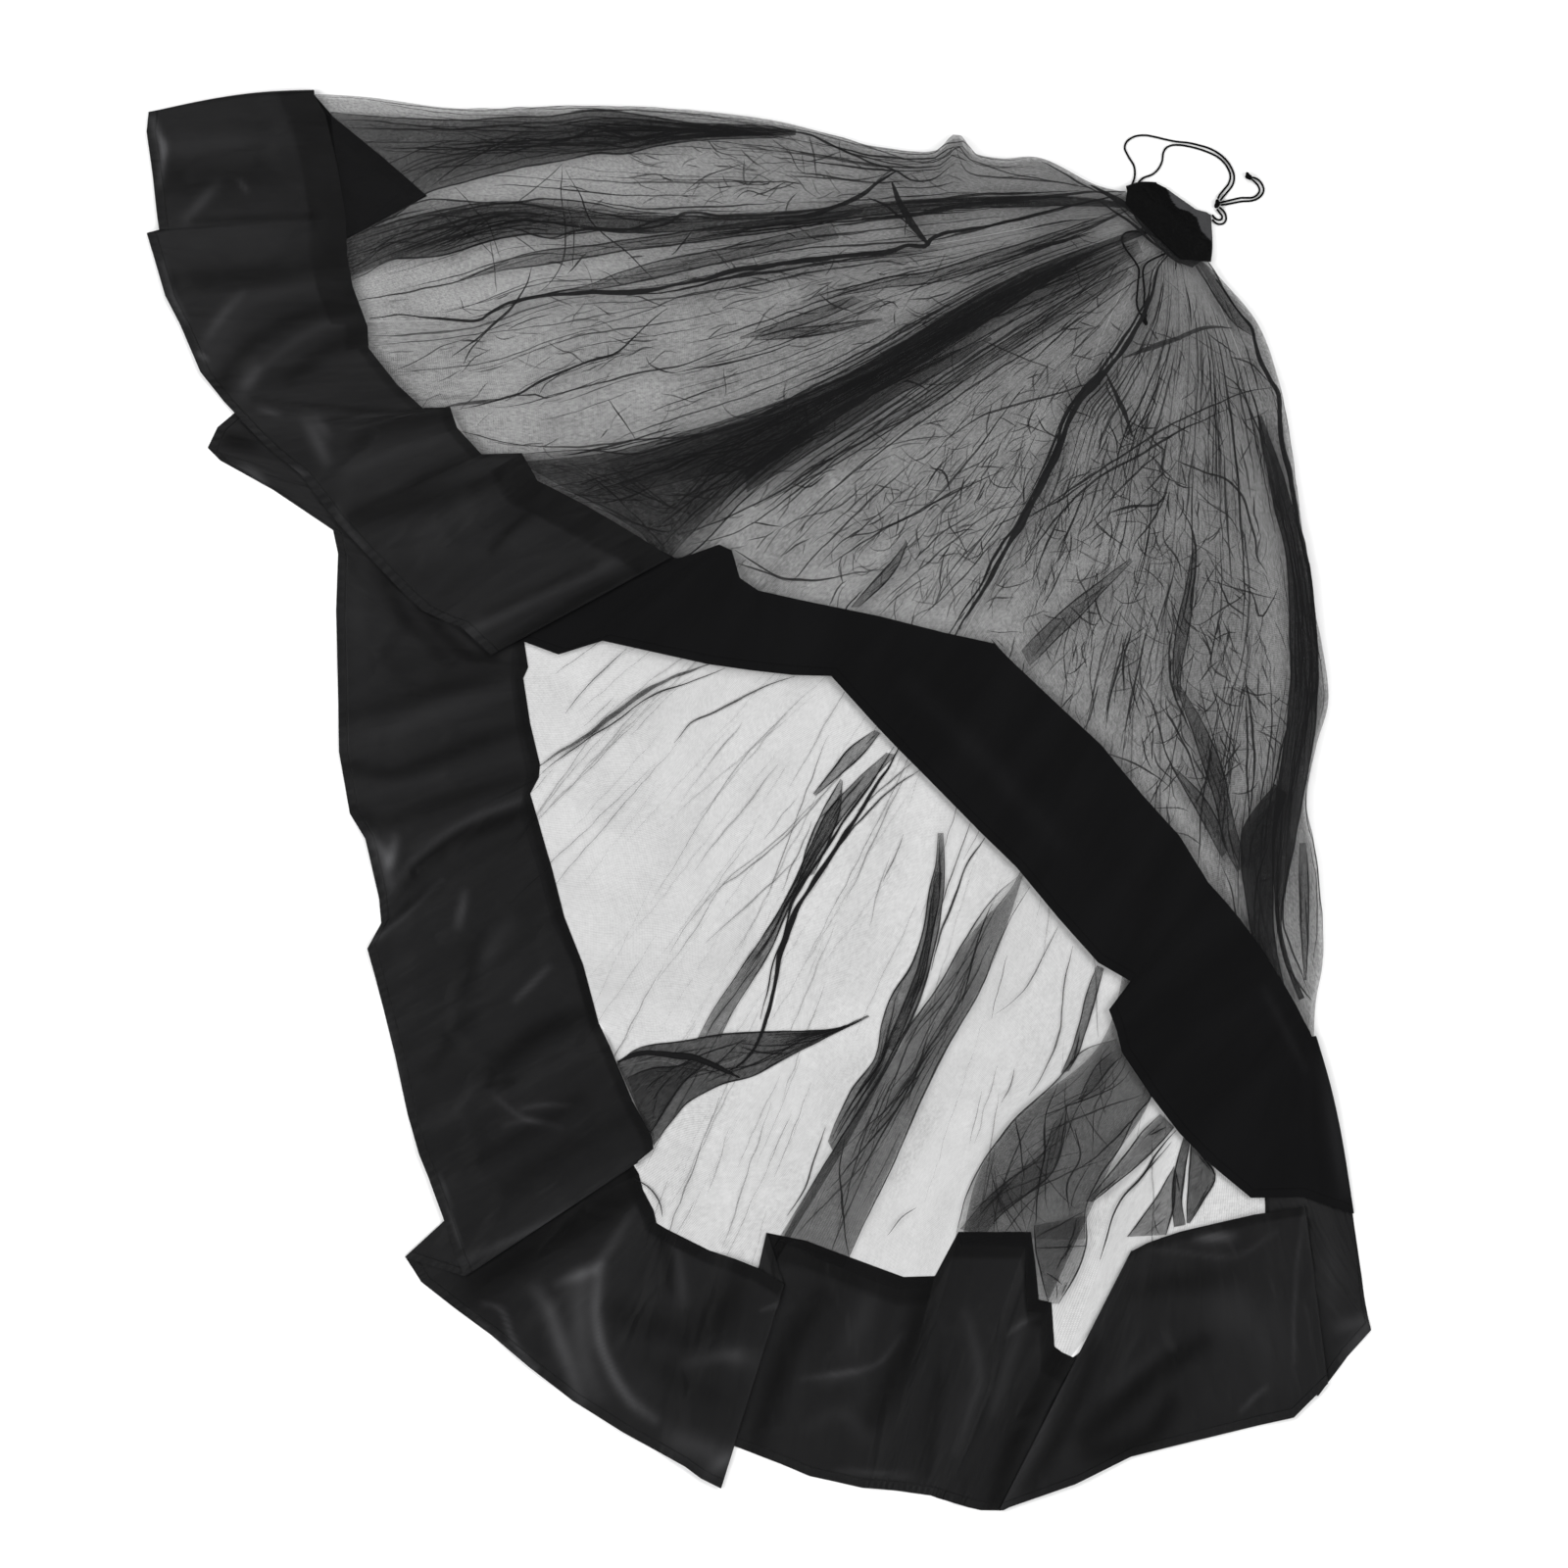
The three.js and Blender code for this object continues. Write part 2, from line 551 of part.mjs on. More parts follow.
// Right panel, round the right fold: a narrow strip of the front, then the back to its seam.
const DARK_HEM = [[1050, 1333], [1047, 1266]];
const STRIP_HEM = [[832, 1277]];
const rightPanel = [
  edge('rightSeam', LAYER_FRONT, SEAM_HALF_GAP),
  ...open(span('rightSeam', 'rightFold', [[1326, 1040, 1]], LAYER_FRONT)),
  turn('rightFold', LAYER_FRONT, LAYER_BACK),
  ...span('rightFold', 'backRight', [[1322, 1088], [1308, 1122], [1296, 1166], [1289, 1206]], LAYER_BACK),
  ...span('backRight', 'backFlap', [[1262, 1250, 1, OPEN_HEM], [1240, 1258, 0, OPEN_HEM],
    [1206, 1266, 2, OPEN_HEM], [1172, 1278, 0, OPEN_HEM]], LAYER_BACK),
  ...open(span('backFlap', 'darkRight', [[1128, 1336, 2, OPEN_HEM], [1088, 1388],
    top(1070, 1382)], LAYER_BACK)),
  ...pleat('darkRight', 'darkLeft', DARK_HEM, DARK_HEM, LAYER_BACK),
  ...open(span('darkLeft', 'stripRight', [[946, 1309, 2.5], [918, 1311], top(884, 1299)], LAYER_BACK)),
  ...pleat('stripRight', 'stripLeft', STRIP_HEM, STRIP_HEM, LAYER_BACK),
  ...open(span('stripLeft', 'backSeam', [[786, 1251], [751, 1286, 1, OPEN_HEM],
    [736, 1277, 0, OPEN_HEM], [724, 1270, 0, 1.8], [712, 1278, 2], [690, 1268], [662, 1252, 2], [652, 1214],
    [655, 1150, 1, OPEN_HEM]], LAYER_BACK)),
  edge('backSeam', LAYER_BACK, SEAM_HALF_GAP),
];
addPiece('net_right_panel', closedSheet(turnedRibs(rightPanel), NET_THICKNESS), BLACK_NET);

// Cap: a flattened tube of cloth over the gathered neck, open at its mouth.
// Columns: mouth x, y, middle x, y, tip x, y, and the heights of the upper layer there.
const CAP_RIBS = [
  [1149, 194.5, 1163, 194, 1178, 192, 11.3, 10.3, 4],
  [1148, 209, 1169, 202, 1189, 192, 13.4, 13, 4.4],
  [1160, 222, 1183, 212, 1200, 200, 13.6, 13.4, 4.4],
  [1181, 243, 1202, 229, 1220, 214, 13.6, 13.4, 4.4],
  [1204, 265, 1219, 247, 1231, 217, 13.4, 13, 4.4],
  [1231, 267, 1233, 252, 1234, 219, 11, 10, 4],
];
const CAP_ROWS = [0, 0.2, 0.4, 0.6, 0.8, 1];

function capRib([mx, my, cx, cy, tx, ty, mouth, middle, tip], upper) {
  const heights = upper ? [mouth, middle, tip] : [CAP_THICKNESS / 2, CAP_THICKNESS / 2, CAP_THICKNESS / 2];
  const line = new THREE.CatmullRomCurve3([
    new THREE.Vector3(planX(mx), planY(my), heights[0]),
    new THREE.Vector3(planX(cx), planY(cy), heights[1]),
    new THREE.Vector3(planX(tx), planY(ty), heights[2]),
  ]);
  return CAP_ROWS.map((row) => line.getPoint(row));
}

const capStops = [];
CAP_RIBS.forEach((row, i) => {
  const stop = { points: capRib(row, true) };
  if (i === CAP_RIBS.length - 1) stop.turned = capRib(row, false);
  capStops.push(stop);
});
[...CAP_RIBS].reverse().slice(1).forEach((row, i, rows) => {
  const stop = { points: capRib(row, false) };
  if (i === rows.length - 1) stop.turned = capRib(row, true);
  capStops.push(stop);
});
capStops.shift();
addPiece('cap', closedSheet(turnedRibs(capStops), CAP_THICKNESS, true), BLACK_TAFFETA);

// Cords: each row is a point of the route, x and y, all at one height unless a third is given.
function cordGeometry(route, rest) {
  const points = route.map(([x, y, z = rest]) => new THREE.Vector3(planX(x), planY(y), z));
  const path = new THREE.CatmullRomCurve3(points, false, 'centripetal');
  const section = new THREE.Shape();
  section.absarc(0, 0, CORD_DIAMETER / 2, 0, 2 * Math.PI, false);
  const steps = Math.max(5, Math.round(path.getLength() / CORD_STEP));
  return new THREE.ExtrudeGeometry(section, {
    steps,
    curveSegments: CORD_SIDES / 2,
    bevelEnabled: false,
    extrudePath: path,
  });
}

const KNOT_CORE = 4;
const HANG_CORD_OUTER = [[1154, 190.5], [1157.6, 181], [1157.2, 170], [1151.5, 160], [1147.6, 151],
  [1149.7, 144.7], [1157.6, 139.5], [1168, 138.2], [1178, 139.8], [1189.7, 142.6], [1200, 144.6],
  [1213, 146], [1224, 148.5], [1233.5, 151.4], [1243, 156.4], [1250.4, 162.6], [1256, 170.4],
  [1259.2, 179.7], [1258, 188], [1252.9, 195.4], [1248.6, 200.4, 2], [1245.1, 204.65, KNOT_CORE]];
const HANG_CORD_INNER = [[1159.3, 190.1], [1161.5, 186.5], [1166, 182], [1175.9, 178], [1181.7, 172.8],
  [1185.7, 164.8], [1187, 155.8], [1190.2, 150.8], [1196, 148.4], [1204, 148.2], [1213, 149.6],
  [1222, 151.8], [1232, 155.2], [1241, 159.4], [1248, 165], [1252.8, 171.8], [1255.4, 179.4],
  [1253.8, 187], [1248.6, 194], [1244.6, 198.8, 2], [1242.5, 202.9, KNOT_CORE]];
const TAIL_CORD_UPPER = [[1245.4, 207, KNOT_CORE], [1250, 205.8, 2], [1256.5, 204.2], [1261.5, 203],
  [1266.8, 202], [1272.5, 202], [1278.2, 201.6], [1282.6, 199], [1285.2, 194.6], [1283.6, 189.4],
  [1280.8, 186.4, 2], [1277.3, 183.6, KNOT_CORE]];
const TAIL_CORD_LOWER = [[1245.5, 209.4, KNOT_CORE], [1250, 209, 2], [1256, 207.8], [1261, 206.8],
  [1268, 205.6], [1276, 205.2], [1282.8, 203], [1287.4, 199], [1289.4, 194.2], [1287.6, 188],
  [1283.6, 183.4, 2], [1278.05, 181.3, KNOT_CORE]];
const TIP_LOOP_INNER = [[1236.8, 219.6, 2], [1239.4, 222.4], [1243, 224.6], [1246.4, 223.8], [1247, 220.6],
  [1244.4, 217.4, 2], [1241.6, 213.9, KNOT_CORE]];
const TIP_LOOP_OUTER = [[1237.1, 224.2, 2], [1239.8, 227.2], [1244, 229], [1248.4, 228], [1251, 224.2],
  [1250.4, 219], [1248, 215, 2], [1244.1, 211.9, KNOT_CORE]];
const INSIDE_CORD_LEFT = [[1180, 243, 6.75], [1175, 240, 5.7], [1169.6, 238, 4.7], [1163.3, 237.1, 4.3],
  [1153, 236.7, 4.3], [1146.3, 239.6, 4.3], [1144.5, 244.5, 4.3], [1147.8, 253.2, 4.3],
  [1154.4, 262.4, 4.3], [1159.4, 269.6, 4.2], [1162, 276, 4.1], [1161.2, 286.5, 3.9], [1160.2, 299, 3.7],
  [1159.6, 309, 3.6], [1161.6, 317, 3.8], [1165.8, 324.2, 5]];
const INSIDE_CORD_RIGHT = [[1191, 258, 6.75], [1184, 261.5, 6.75], [1176, 265, 5.5], [1169.4, 269.4, 4.3],
  [1166.2, 275.4, 4.2], [1166.6, 287, 3.9], [1167.6, 299, 3.7], [1167.2, 310, 3.6], [1168.4, 317, 3.9],
  [1169.3, 323.6, 5]];

const CORDS = [
  ['hang_cord_outer', HANG_CORD_OUTER, CORD_REST],
  ['hang_cord_inner', HANG_CORD_INNER, CORD_REST],
  ['tail_cord_upper', TAIL_CORD_UPPER, CORD_REST],
  ['tail_cord_lower', TAIL_CORD_LOWER, CORD_REST],
  ['tip_loop_inner', TIP_LOOP_INNER, CORD_REST],
  ['tip_loop_outer', TIP_LOOP_OUTER, CORD_REST],
  ['inside_cord_left', INSIDE_CORD_LEFT, CORD_REST],
  ['inside_cord_right', INSIDE_CORD_RIGHT, CORD_REST],
];
for (const [name, route, rest] of CORDS) addPiece(name, cordGeometry(route, rest), BLACK_CORD);

// Knots: small lumps of the same cord, longer than wide, with three soft turns round them.
function knotGeometry({ x, y, length, width, angle, lowest }) {
  const geometry = new THREE.IcosahedronGeometry(1, 2);
  const position = geometry.attributes.position;
  const point = new THREE.Vector3();
  for (let i = 0; i < position.count; i++) {
    point.fromBufferAttribute(position, i);
    const turns = 1 + 0.07 * Math.cos(point.x * 7);
    position.setXYZ(i, (point.x * length) / 2, (point.y * width * turns) / 2, (point.z * width * turns) / 2);
  }
  geometry.rotateZ(angle);
  geometry.computeBoundingBox();
  geometry.translate(planX(x), planY(y), lowest - geometry.boundingBox.min.z);
  return geometry;
}

const KNOTS = {
  hang_knot: { x: 1241.8, y: 208.4, length: 12, width: 7.5, angle: 1.35, lowest: 0.2 },
  end_knot: { x: 1273.6, y: 180.4, length: 11, width: 8, angle: -0.9, lowest: 0.2 },
  inside_knot: { x: 1168.2, y: 328.2, length: 11, width: 6.4, angle: -1.35, lowest: 2.3 },
};
for (const [name, knot] of Object.entries(KNOTS)) addPiece(name, knotGeometry(knot), BLACK_CORD);

export default tent;
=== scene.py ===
import math

import bpy
import numpy as np
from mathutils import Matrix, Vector, noise
from mathutils.bvhtree import BVHTree


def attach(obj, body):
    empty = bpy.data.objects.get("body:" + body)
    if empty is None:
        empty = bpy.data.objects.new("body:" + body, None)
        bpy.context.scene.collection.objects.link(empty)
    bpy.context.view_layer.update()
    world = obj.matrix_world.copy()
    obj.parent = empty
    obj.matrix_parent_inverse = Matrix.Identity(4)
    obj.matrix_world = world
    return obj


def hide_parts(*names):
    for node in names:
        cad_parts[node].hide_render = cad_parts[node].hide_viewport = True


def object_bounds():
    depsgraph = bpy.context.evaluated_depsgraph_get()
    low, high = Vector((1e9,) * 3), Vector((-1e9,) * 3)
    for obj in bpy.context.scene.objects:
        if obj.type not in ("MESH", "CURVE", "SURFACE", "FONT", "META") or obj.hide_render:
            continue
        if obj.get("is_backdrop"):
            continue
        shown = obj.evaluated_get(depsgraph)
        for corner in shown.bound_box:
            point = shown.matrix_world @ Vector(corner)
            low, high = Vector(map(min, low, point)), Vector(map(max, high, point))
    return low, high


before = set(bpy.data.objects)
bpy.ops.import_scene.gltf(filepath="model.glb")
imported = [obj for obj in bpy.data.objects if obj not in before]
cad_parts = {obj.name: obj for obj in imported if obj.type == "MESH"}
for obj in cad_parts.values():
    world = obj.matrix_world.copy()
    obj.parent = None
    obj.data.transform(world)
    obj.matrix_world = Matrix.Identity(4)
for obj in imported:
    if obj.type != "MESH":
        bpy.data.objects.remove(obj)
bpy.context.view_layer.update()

# A hanging mosquito net tent, taken down and laid out flat, with its looks.
# Metres, +Z up, +X to the right of the layout, +Y towards its upper edge.
# Plan of the layout: x runs right and y runs down, and one unit is this many metres.
PLAN_UNIT = 0.0012
PLAN_CENTRE = (774.5, 818.3)
MM = 0.001
SEED = 7


def plan(points):
    """Plan points, with heights in millimetres where a third column is given, in metres."""
    p = np.asarray(points, dtype=float)
    x = (p[:, 0] - PLAN_CENTRE[0]) * PLAN_UNIT
    y = (PLAN_CENTRE[1] - p[:, 1]) * PLAN_UNIT
    z = p[:, 2] * MM if p.shape[1] > 2 else np.zeros(len(p))
    return np.stack([x, y, z], axis=1)


# Camera, straight above the layout.
VIEW_CENTRE = (800, 800)
VIEW_WIDTH = 1.92
CAMERA_HEIGHT = 6.0
SENSOR = 36.0

scene = bpy.context.scene
camera_data = bpy.data.cameras.new("camera")
camera_data.sensor_width = SENSOR
camera_data.lens = SENSOR * CAMERA_HEIGHT / VIEW_WIDTH
camera = bpy.data.objects.new("camera", camera_data)
camera.location = Vector(plan([VIEW_CENTRE])[0]) + Vector((0, 0, CAMERA_HEIGHT))
scene.collection.objects.link(camera)
scene.camera = camera


# Smooth lines through points.
def centripetal(points, steps=24):
    """A centripetal Catmull-Rom line through the points, as a dense polyline."""
    p = np.asarray(points, dtype=float)
    p = np.vstack([2 * p[0] - p[1], p, 2 * p[-1] - p[-2]])
    t = np.linspace(0, 1, steps, endpoint=False)[:, None]
    line = []
    for i in range(1, len(p) - 2):
        d0, d1, d2 = (max(1e-6, np.linalg.norm(p[i + k] - p[i + k - 1])) ** 0.5 for k in (0, 1, 2))
        m1 = ((p[i] - p[i - 1]) / d0 - (p[i + 1] - p[i - 1]) / (d0 + d1)
              + (p[i + 1] - p[i]) / d1) * d1
        m2 = ((p[i + 1] - p[i]) / d1 - (p[i + 2] - p[i]) / (d1 + d2)
              + (p[i + 2] - p[i + 1]) / d2) * d1
        a, b = p[i], p[i + 1]
        line.append((2 * t**3 - 3 * t**2 + 1) * a + (t**3 - 2 * t**2 + t) * m1
                    + (3 * t**2 - 2 * t**3) * b + (t**3 - t**2) * m2)
    return np.vstack([*line, p[-2:-1]])


def run_length(line):
    return np.concatenate([[0], np.cumsum(np.linalg.norm(np.diff(line, axis=0), axis=1))])


def along(line, shares):
    """Points of a polyline at shares of its length."""
    run, shares = run_length(line), np.asarray(shares)
    return np.stack([np.interp(shares * run[-1], run, values) for values in line.T], axis=1)


def smooth(t):
    k = np.clip(t, 0, 1)
    return k * k * (3 - 2 * k)


# Meshes.
def grid_faces(columns, rows, ring=False):
    """Quads of a grid whose vertex (column, row) has the number column * rows + row."""
    c = np.arange(columns if ring else columns - 1)
    r = np.arange(rows - 1)
    c, r = (m.ravel() for m in np.meshgrid(c, r, indexing="ij"))
    n = (c + 1) % columns
    return np.stack([c * rows + r, n * rows + r, n * rows + r + 1, c * rows + r + 1], axis=1)


def make_piece(name, parts, materials, attributes):
    """One object from parts, each a dict with points, faces and its values at the points."""
    points, faces, slots, start = [], [], [], 0
    for part in parts:
        points.append(part["points"])
        faces.append(part["faces"] + start)
        slots.append(np.broadcast_to(part.get("slot", 0), len(part["faces"])))
        start += len(part["points"])
    points, faces, slots = np.vstack(points), np.vstack(faces), np.concatenate(slots)
    mesh = bpy.data.meshes.new(name)
    mesh.from_pydata(points.tolist(), [], faces.tolist())
    for key, size in attributes.items():
        kind = "FLOAT" if size == 1 else "FLOAT_VECTOR"
        data = mesh.attributes.new(key, kind, "POINT").data
        values = np.concatenate([np.ravel(part[key]).astype(float) for part in parts])
        data.foreach_set("value" if size == 1 else "vector", values)
    for material in materials:
        mesh.materials.append(material)
    mesh.polygons.foreach_set("material_index", slots.astype(int))
    mesh.polygons.foreach_set("use_smooth", np.ones(len(faces), dtype=bool))
    mesh.update()
    obj = bpy.data.objects.new(name, mesh)
    scene.collection.objects.link(obj)
    return obj


# Materials.
class Graph:
    """A material of nodes round one Principled shader."""

    def __init__(self, name):
        self.material = bpy.data.materials.new(name)
        self.material.use_nodes = True
        self.tree = self.material.node_tree
        self.tree.nodes.clear()
        self.shader = self.add("ShaderNodeBsdfPrincipled")
        output = self.add("ShaderNodeOutputMaterial")
        self.tree.links.new(self.shader.outputs["BSDF"], output.inputs["Surface"])

    def add(self, kind, inputs=(), **settings):
        node = self.tree.nodes.new(kind)
        for key, value in settings.items():
            setattr(node, key, value)
        for key, value in dict(inputs).items():
            self.feed(node.inputs[key], value)
        return node

    def feed(self, socket, value):
        if isinstance(value, bpy.types.NodeSocket):
            self.tree.links.new(value, socket)
        else:
            socket.default_value = value

    def set(self, **values):
        for key, value in values.items():
            self.feed(self.shader.inputs[key.replace("_", " ")], value)

    def math(self, operation, *values):
        node = self.add("ShaderNodeMath", operation=operation)
        for i, value in enumerate(values):
            self.feed(node.inputs[i], value)
        return node.outputs[0]

    def times(self, value, *others):
        for other in others:
            value = self.math("MULTIPLY", value, other)
        return value

    def plus(self, value, *others):
        for other in others:
            value = self.math("ADD", value, other)
        return value

    def less(self, value, other):
        return self.math("SUBTRACT", value, other)

    def wave(self, value, pitch):
        return self.math("SINE", self.times(value, 2 * math.pi / pitch))

    def split(self, vector):
        return self.add("ShaderNodeSeparateXYZ", {0: vector}).outputs

    def stretch(self, vector, by):
        return self.add("ShaderNodeVectorMath", {0: vector, 1: by}, operation="MULTIPLY").outputs[0]

    def shift(self, vector, by):
        return self.add("ShaderNodeVectorMath", {0: vector, 1: by}, operation="ADD").outputs[0]

    def mix(self, share, low, high):
        return self.add("ShaderNodeMix", {6: low, 7: high, 0: share}, data_type="RGBA").outputs[2]

    def noise(self, vector, scale=1.0, detail=2.0, roughness=0.5):
        node = self.add("ShaderNodeTexNoise", {"Vector": vector, "Scale": scale,
                                               "Detail": detail, "Roughness": roughness})
        return node.outputs["Fac"], node.outputs["Color"]

    def edges(self, vector, scale=1.0):
        node = self.add("ShaderNodeTexVoronoi", {"Vector": vector, "Scale": scale},
                        feature="DISTANCE_TO_EDGE")
        return node.outputs["Distance"]

    def ease(self, value, low, high, to_low=0.0, to_high=1.0):
        node = self.add("ShaderNodeMapRange", interpolation_type="SMOOTHSTEP", clamp=True)
        for i, v in enumerate((value, low, high, to_low, to_high)):
            self.feed(node.inputs[i], v)
        return node.outputs[0]

    def attribute(self, name, output="Fac"):
        return self.add("ShaderNodeAttribute", attribute_name=name).outputs[output]

    def bump(self, height, distance, strength=1.0, normal=None):
        node = self.add("ShaderNodeBump",
                        {"Height": height, "Distance": distance, "Strength": strength})
        if normal is not None:
            self.feed(node.inputs["Normal"], normal)
        return node.outputs[0]


# Pitches of the weaves and the width of the border's own hem, in metres.
NET_PITCH = 0.0016
WEAVE_PITCH = 0.0009
BRAID_PITCH = 0.005
PUCKER_PITCH = 0.011
HEM_WIDTH = 0.011
# The most that one layer of net covers.
MOST_COVER = 0.97


def net_material():
    """Fine black net: a hexagonal mesh, with faint crease lines along the cloth."""
    g = Graph("net_mesh")
    cloth = g.attribute("cloth", "Vector")
    cover = g.attribute("cover")
    crease = g.attribute("crease")
    x, y, _ = g.split(cloth)
    turn = 2 * math.pi / NET_PITCH
    waves = [g.math("COSINE", g.plus(g.times(x, cx * turn), g.times(y, cy * turn)))
             for cx, cy in ((1, 0), (0.5, 0.866), (0.5, -0.866))]
    weave = g.ease(g.plus(*waves), -0.9, 1.2, 1.45, 0.55)
    flow, _ = g.noise(g.stretch(cloth, (60, 3.2, 1)), detail=1.0)
    line = g.ease(g.math("ABSOLUTE", g.less(flow, 0.5)), 0.0, 0.03, 1.0, 0.0)
    where, _ = g.noise(g.stretch(cloth, (14, 8, 1)), detail=2.0)
    marks = g.times(g.times(line, g.ease(where, 0.42, 0.62)), crease, 0.45)
    fine, _ = g.noise(g.stretch(cloth, (420, 210, 1)), detail=1.0)
    grain = g.plus(1.0, g.times(g.less(fine, 0.5), g.plus(0.6, g.times(crease, 1.4))))
    tone = g.ease(where, 0.3, 0.7, 0.93, 1.08)
    cloth_tone = g.times(weave, tone, g.math("MAXIMUM", grain, 0.3))
    open_share = g.times(g.less(1.0, cover), 1.25)
    change = g.plus(g.times(g.less(cloth_tone, 1.0), open_share), marks)
    covered = g.times(g.plus(1.0, change), cover)
    g.set(Base_Color=(0.005, 0.005, 0.0054, 1), Roughness=0.75, Specular_IOR_Level=0.1,
          Alpha=g.math("MINIMUM", covered, MOST_COVER))
    return g.material


def taffeta_material(name, colour, roughness, specular, relief):
    """Smooth woven taffeta: fine weave, soft crumples, and a stitched hem with its pucker."""
    g = Graph(name)
    band = g.attribute("band", "Vector")
    run, inner, hem = g.split(band)
    # light: the painted highlights and painted shade of the satin's folds, and the darker seam,
    # that scale the colour.
    light = g.attribute("light")
    weave = g.times(g.wave(run, WEAVE_PITCH), g.wave(inner, WEAVE_PITCH))
    fans, warp = g.noise(g.stretch(band, (16, 3.5, 0)), detail=3.0, roughness=0.55)
    bent = g.shift(g.stretch(band, (1, 0.7, 0)), g.stretch(warp, (0.06, 0.06, 0)))
    creases = g.ease(g.edges(bent, 9), 0.0, 0.12, 1.0, 0.0)
    small, _ = g.noise(g.stretch(band, (60, 34, 0)), detail=1.0)
    stitches = g.ease(g.math("ABSOLUTE", g.less(hem, HEM_WIDTH)), 0.0, 0.0016, 1.0, 0.0)
    pucker = g.times(g.wave(run, PUCKER_PITCH), g.ease(hem, 0.0, 0.02, 1.0, 0.0))
    height = g.plus(fans, g.times(creases, 0.16), g.times(small, 0.14))
    height = g.plus(g.less(height, g.times(stitches, 0.1)), g.times(pucker, 0.07))
    normal = g.bump(weave, 0.00004, 1.0, g.bump(height, relief))
    # The colour: painted highlights and painted shade from light, a tone that follows the fans, and
    # darker along the stitches.
    shade = g.times(light, g.ease(fans, 0.3, 0.7, 0.85, 1.15),
                    g.ease(stitches, 0.0, 1.0, 1.0, 0.75))
    tint = g.add("ShaderNodeVectorMath", {0: colour, "Scale": shade}, operation="SCALE")
    g.set(Base_Color=tint.outputs[0], Roughness=roughness, Normal=normal,
          Specular_IOR_Level=specular)
    return g.material


def cap_material():
    """The cap's taffeta: closed over the gathered net, and partly sheer beyond it."""
    g = Graph("cap_taffeta")
    cloth = g.attribute("cloth", "Vector")
    folds, _ = g.noise(cloth, 60, 3.0)
    fine, _ = g.noise(cloth, 240, 2.0)
    tint = g.mix(g.attribute("sheer"), (0.0015, 0.0015, 0.0016, 1), (0.045, 0.045, 0.047, 1))
    g.set(Base_Color=tint, Roughness=0.55, Specular_IOR_Level=0.05,
          Normal=g.bump(g.plus(folds, g.times(fine, 0.2)), 0.004))
    return g.material


def cord_material():
    """Round braided cord: two sets of strands that cross as they wind."""
    g = Graph("cord_braid")
    cloth = g.attribute("cloth", "Vector")
    run, angle, _ = g.split(cloth)
    winding = g.times(run, 2 * math.pi / BRAID_PITCH)
    strands = [g.math("SINE", g.math(way, g.times(angle, 3), winding))
               for way in ("ADD", "SUBTRACT")]
    braid = g.math("MAXIMUM", *strands)
    fuzz, _ = g.noise(cloth, 900, 1.0)
    tint = g.mix(g.ease(braid, -0.5, 1.0), (0.0008, 0.0008, 0.0008, 1),
                 (0.0035, 0.0035, 0.0036, 1))
    g.set(Base_Color=tint, Roughness=g.ease(fuzz, 0.3, 0.7, 0.75, 0.95),
          Specular_IOR_Level=0.05, Normal=g.bump(braid, 0.0003))
    return g.material


cord_look = cord_material()

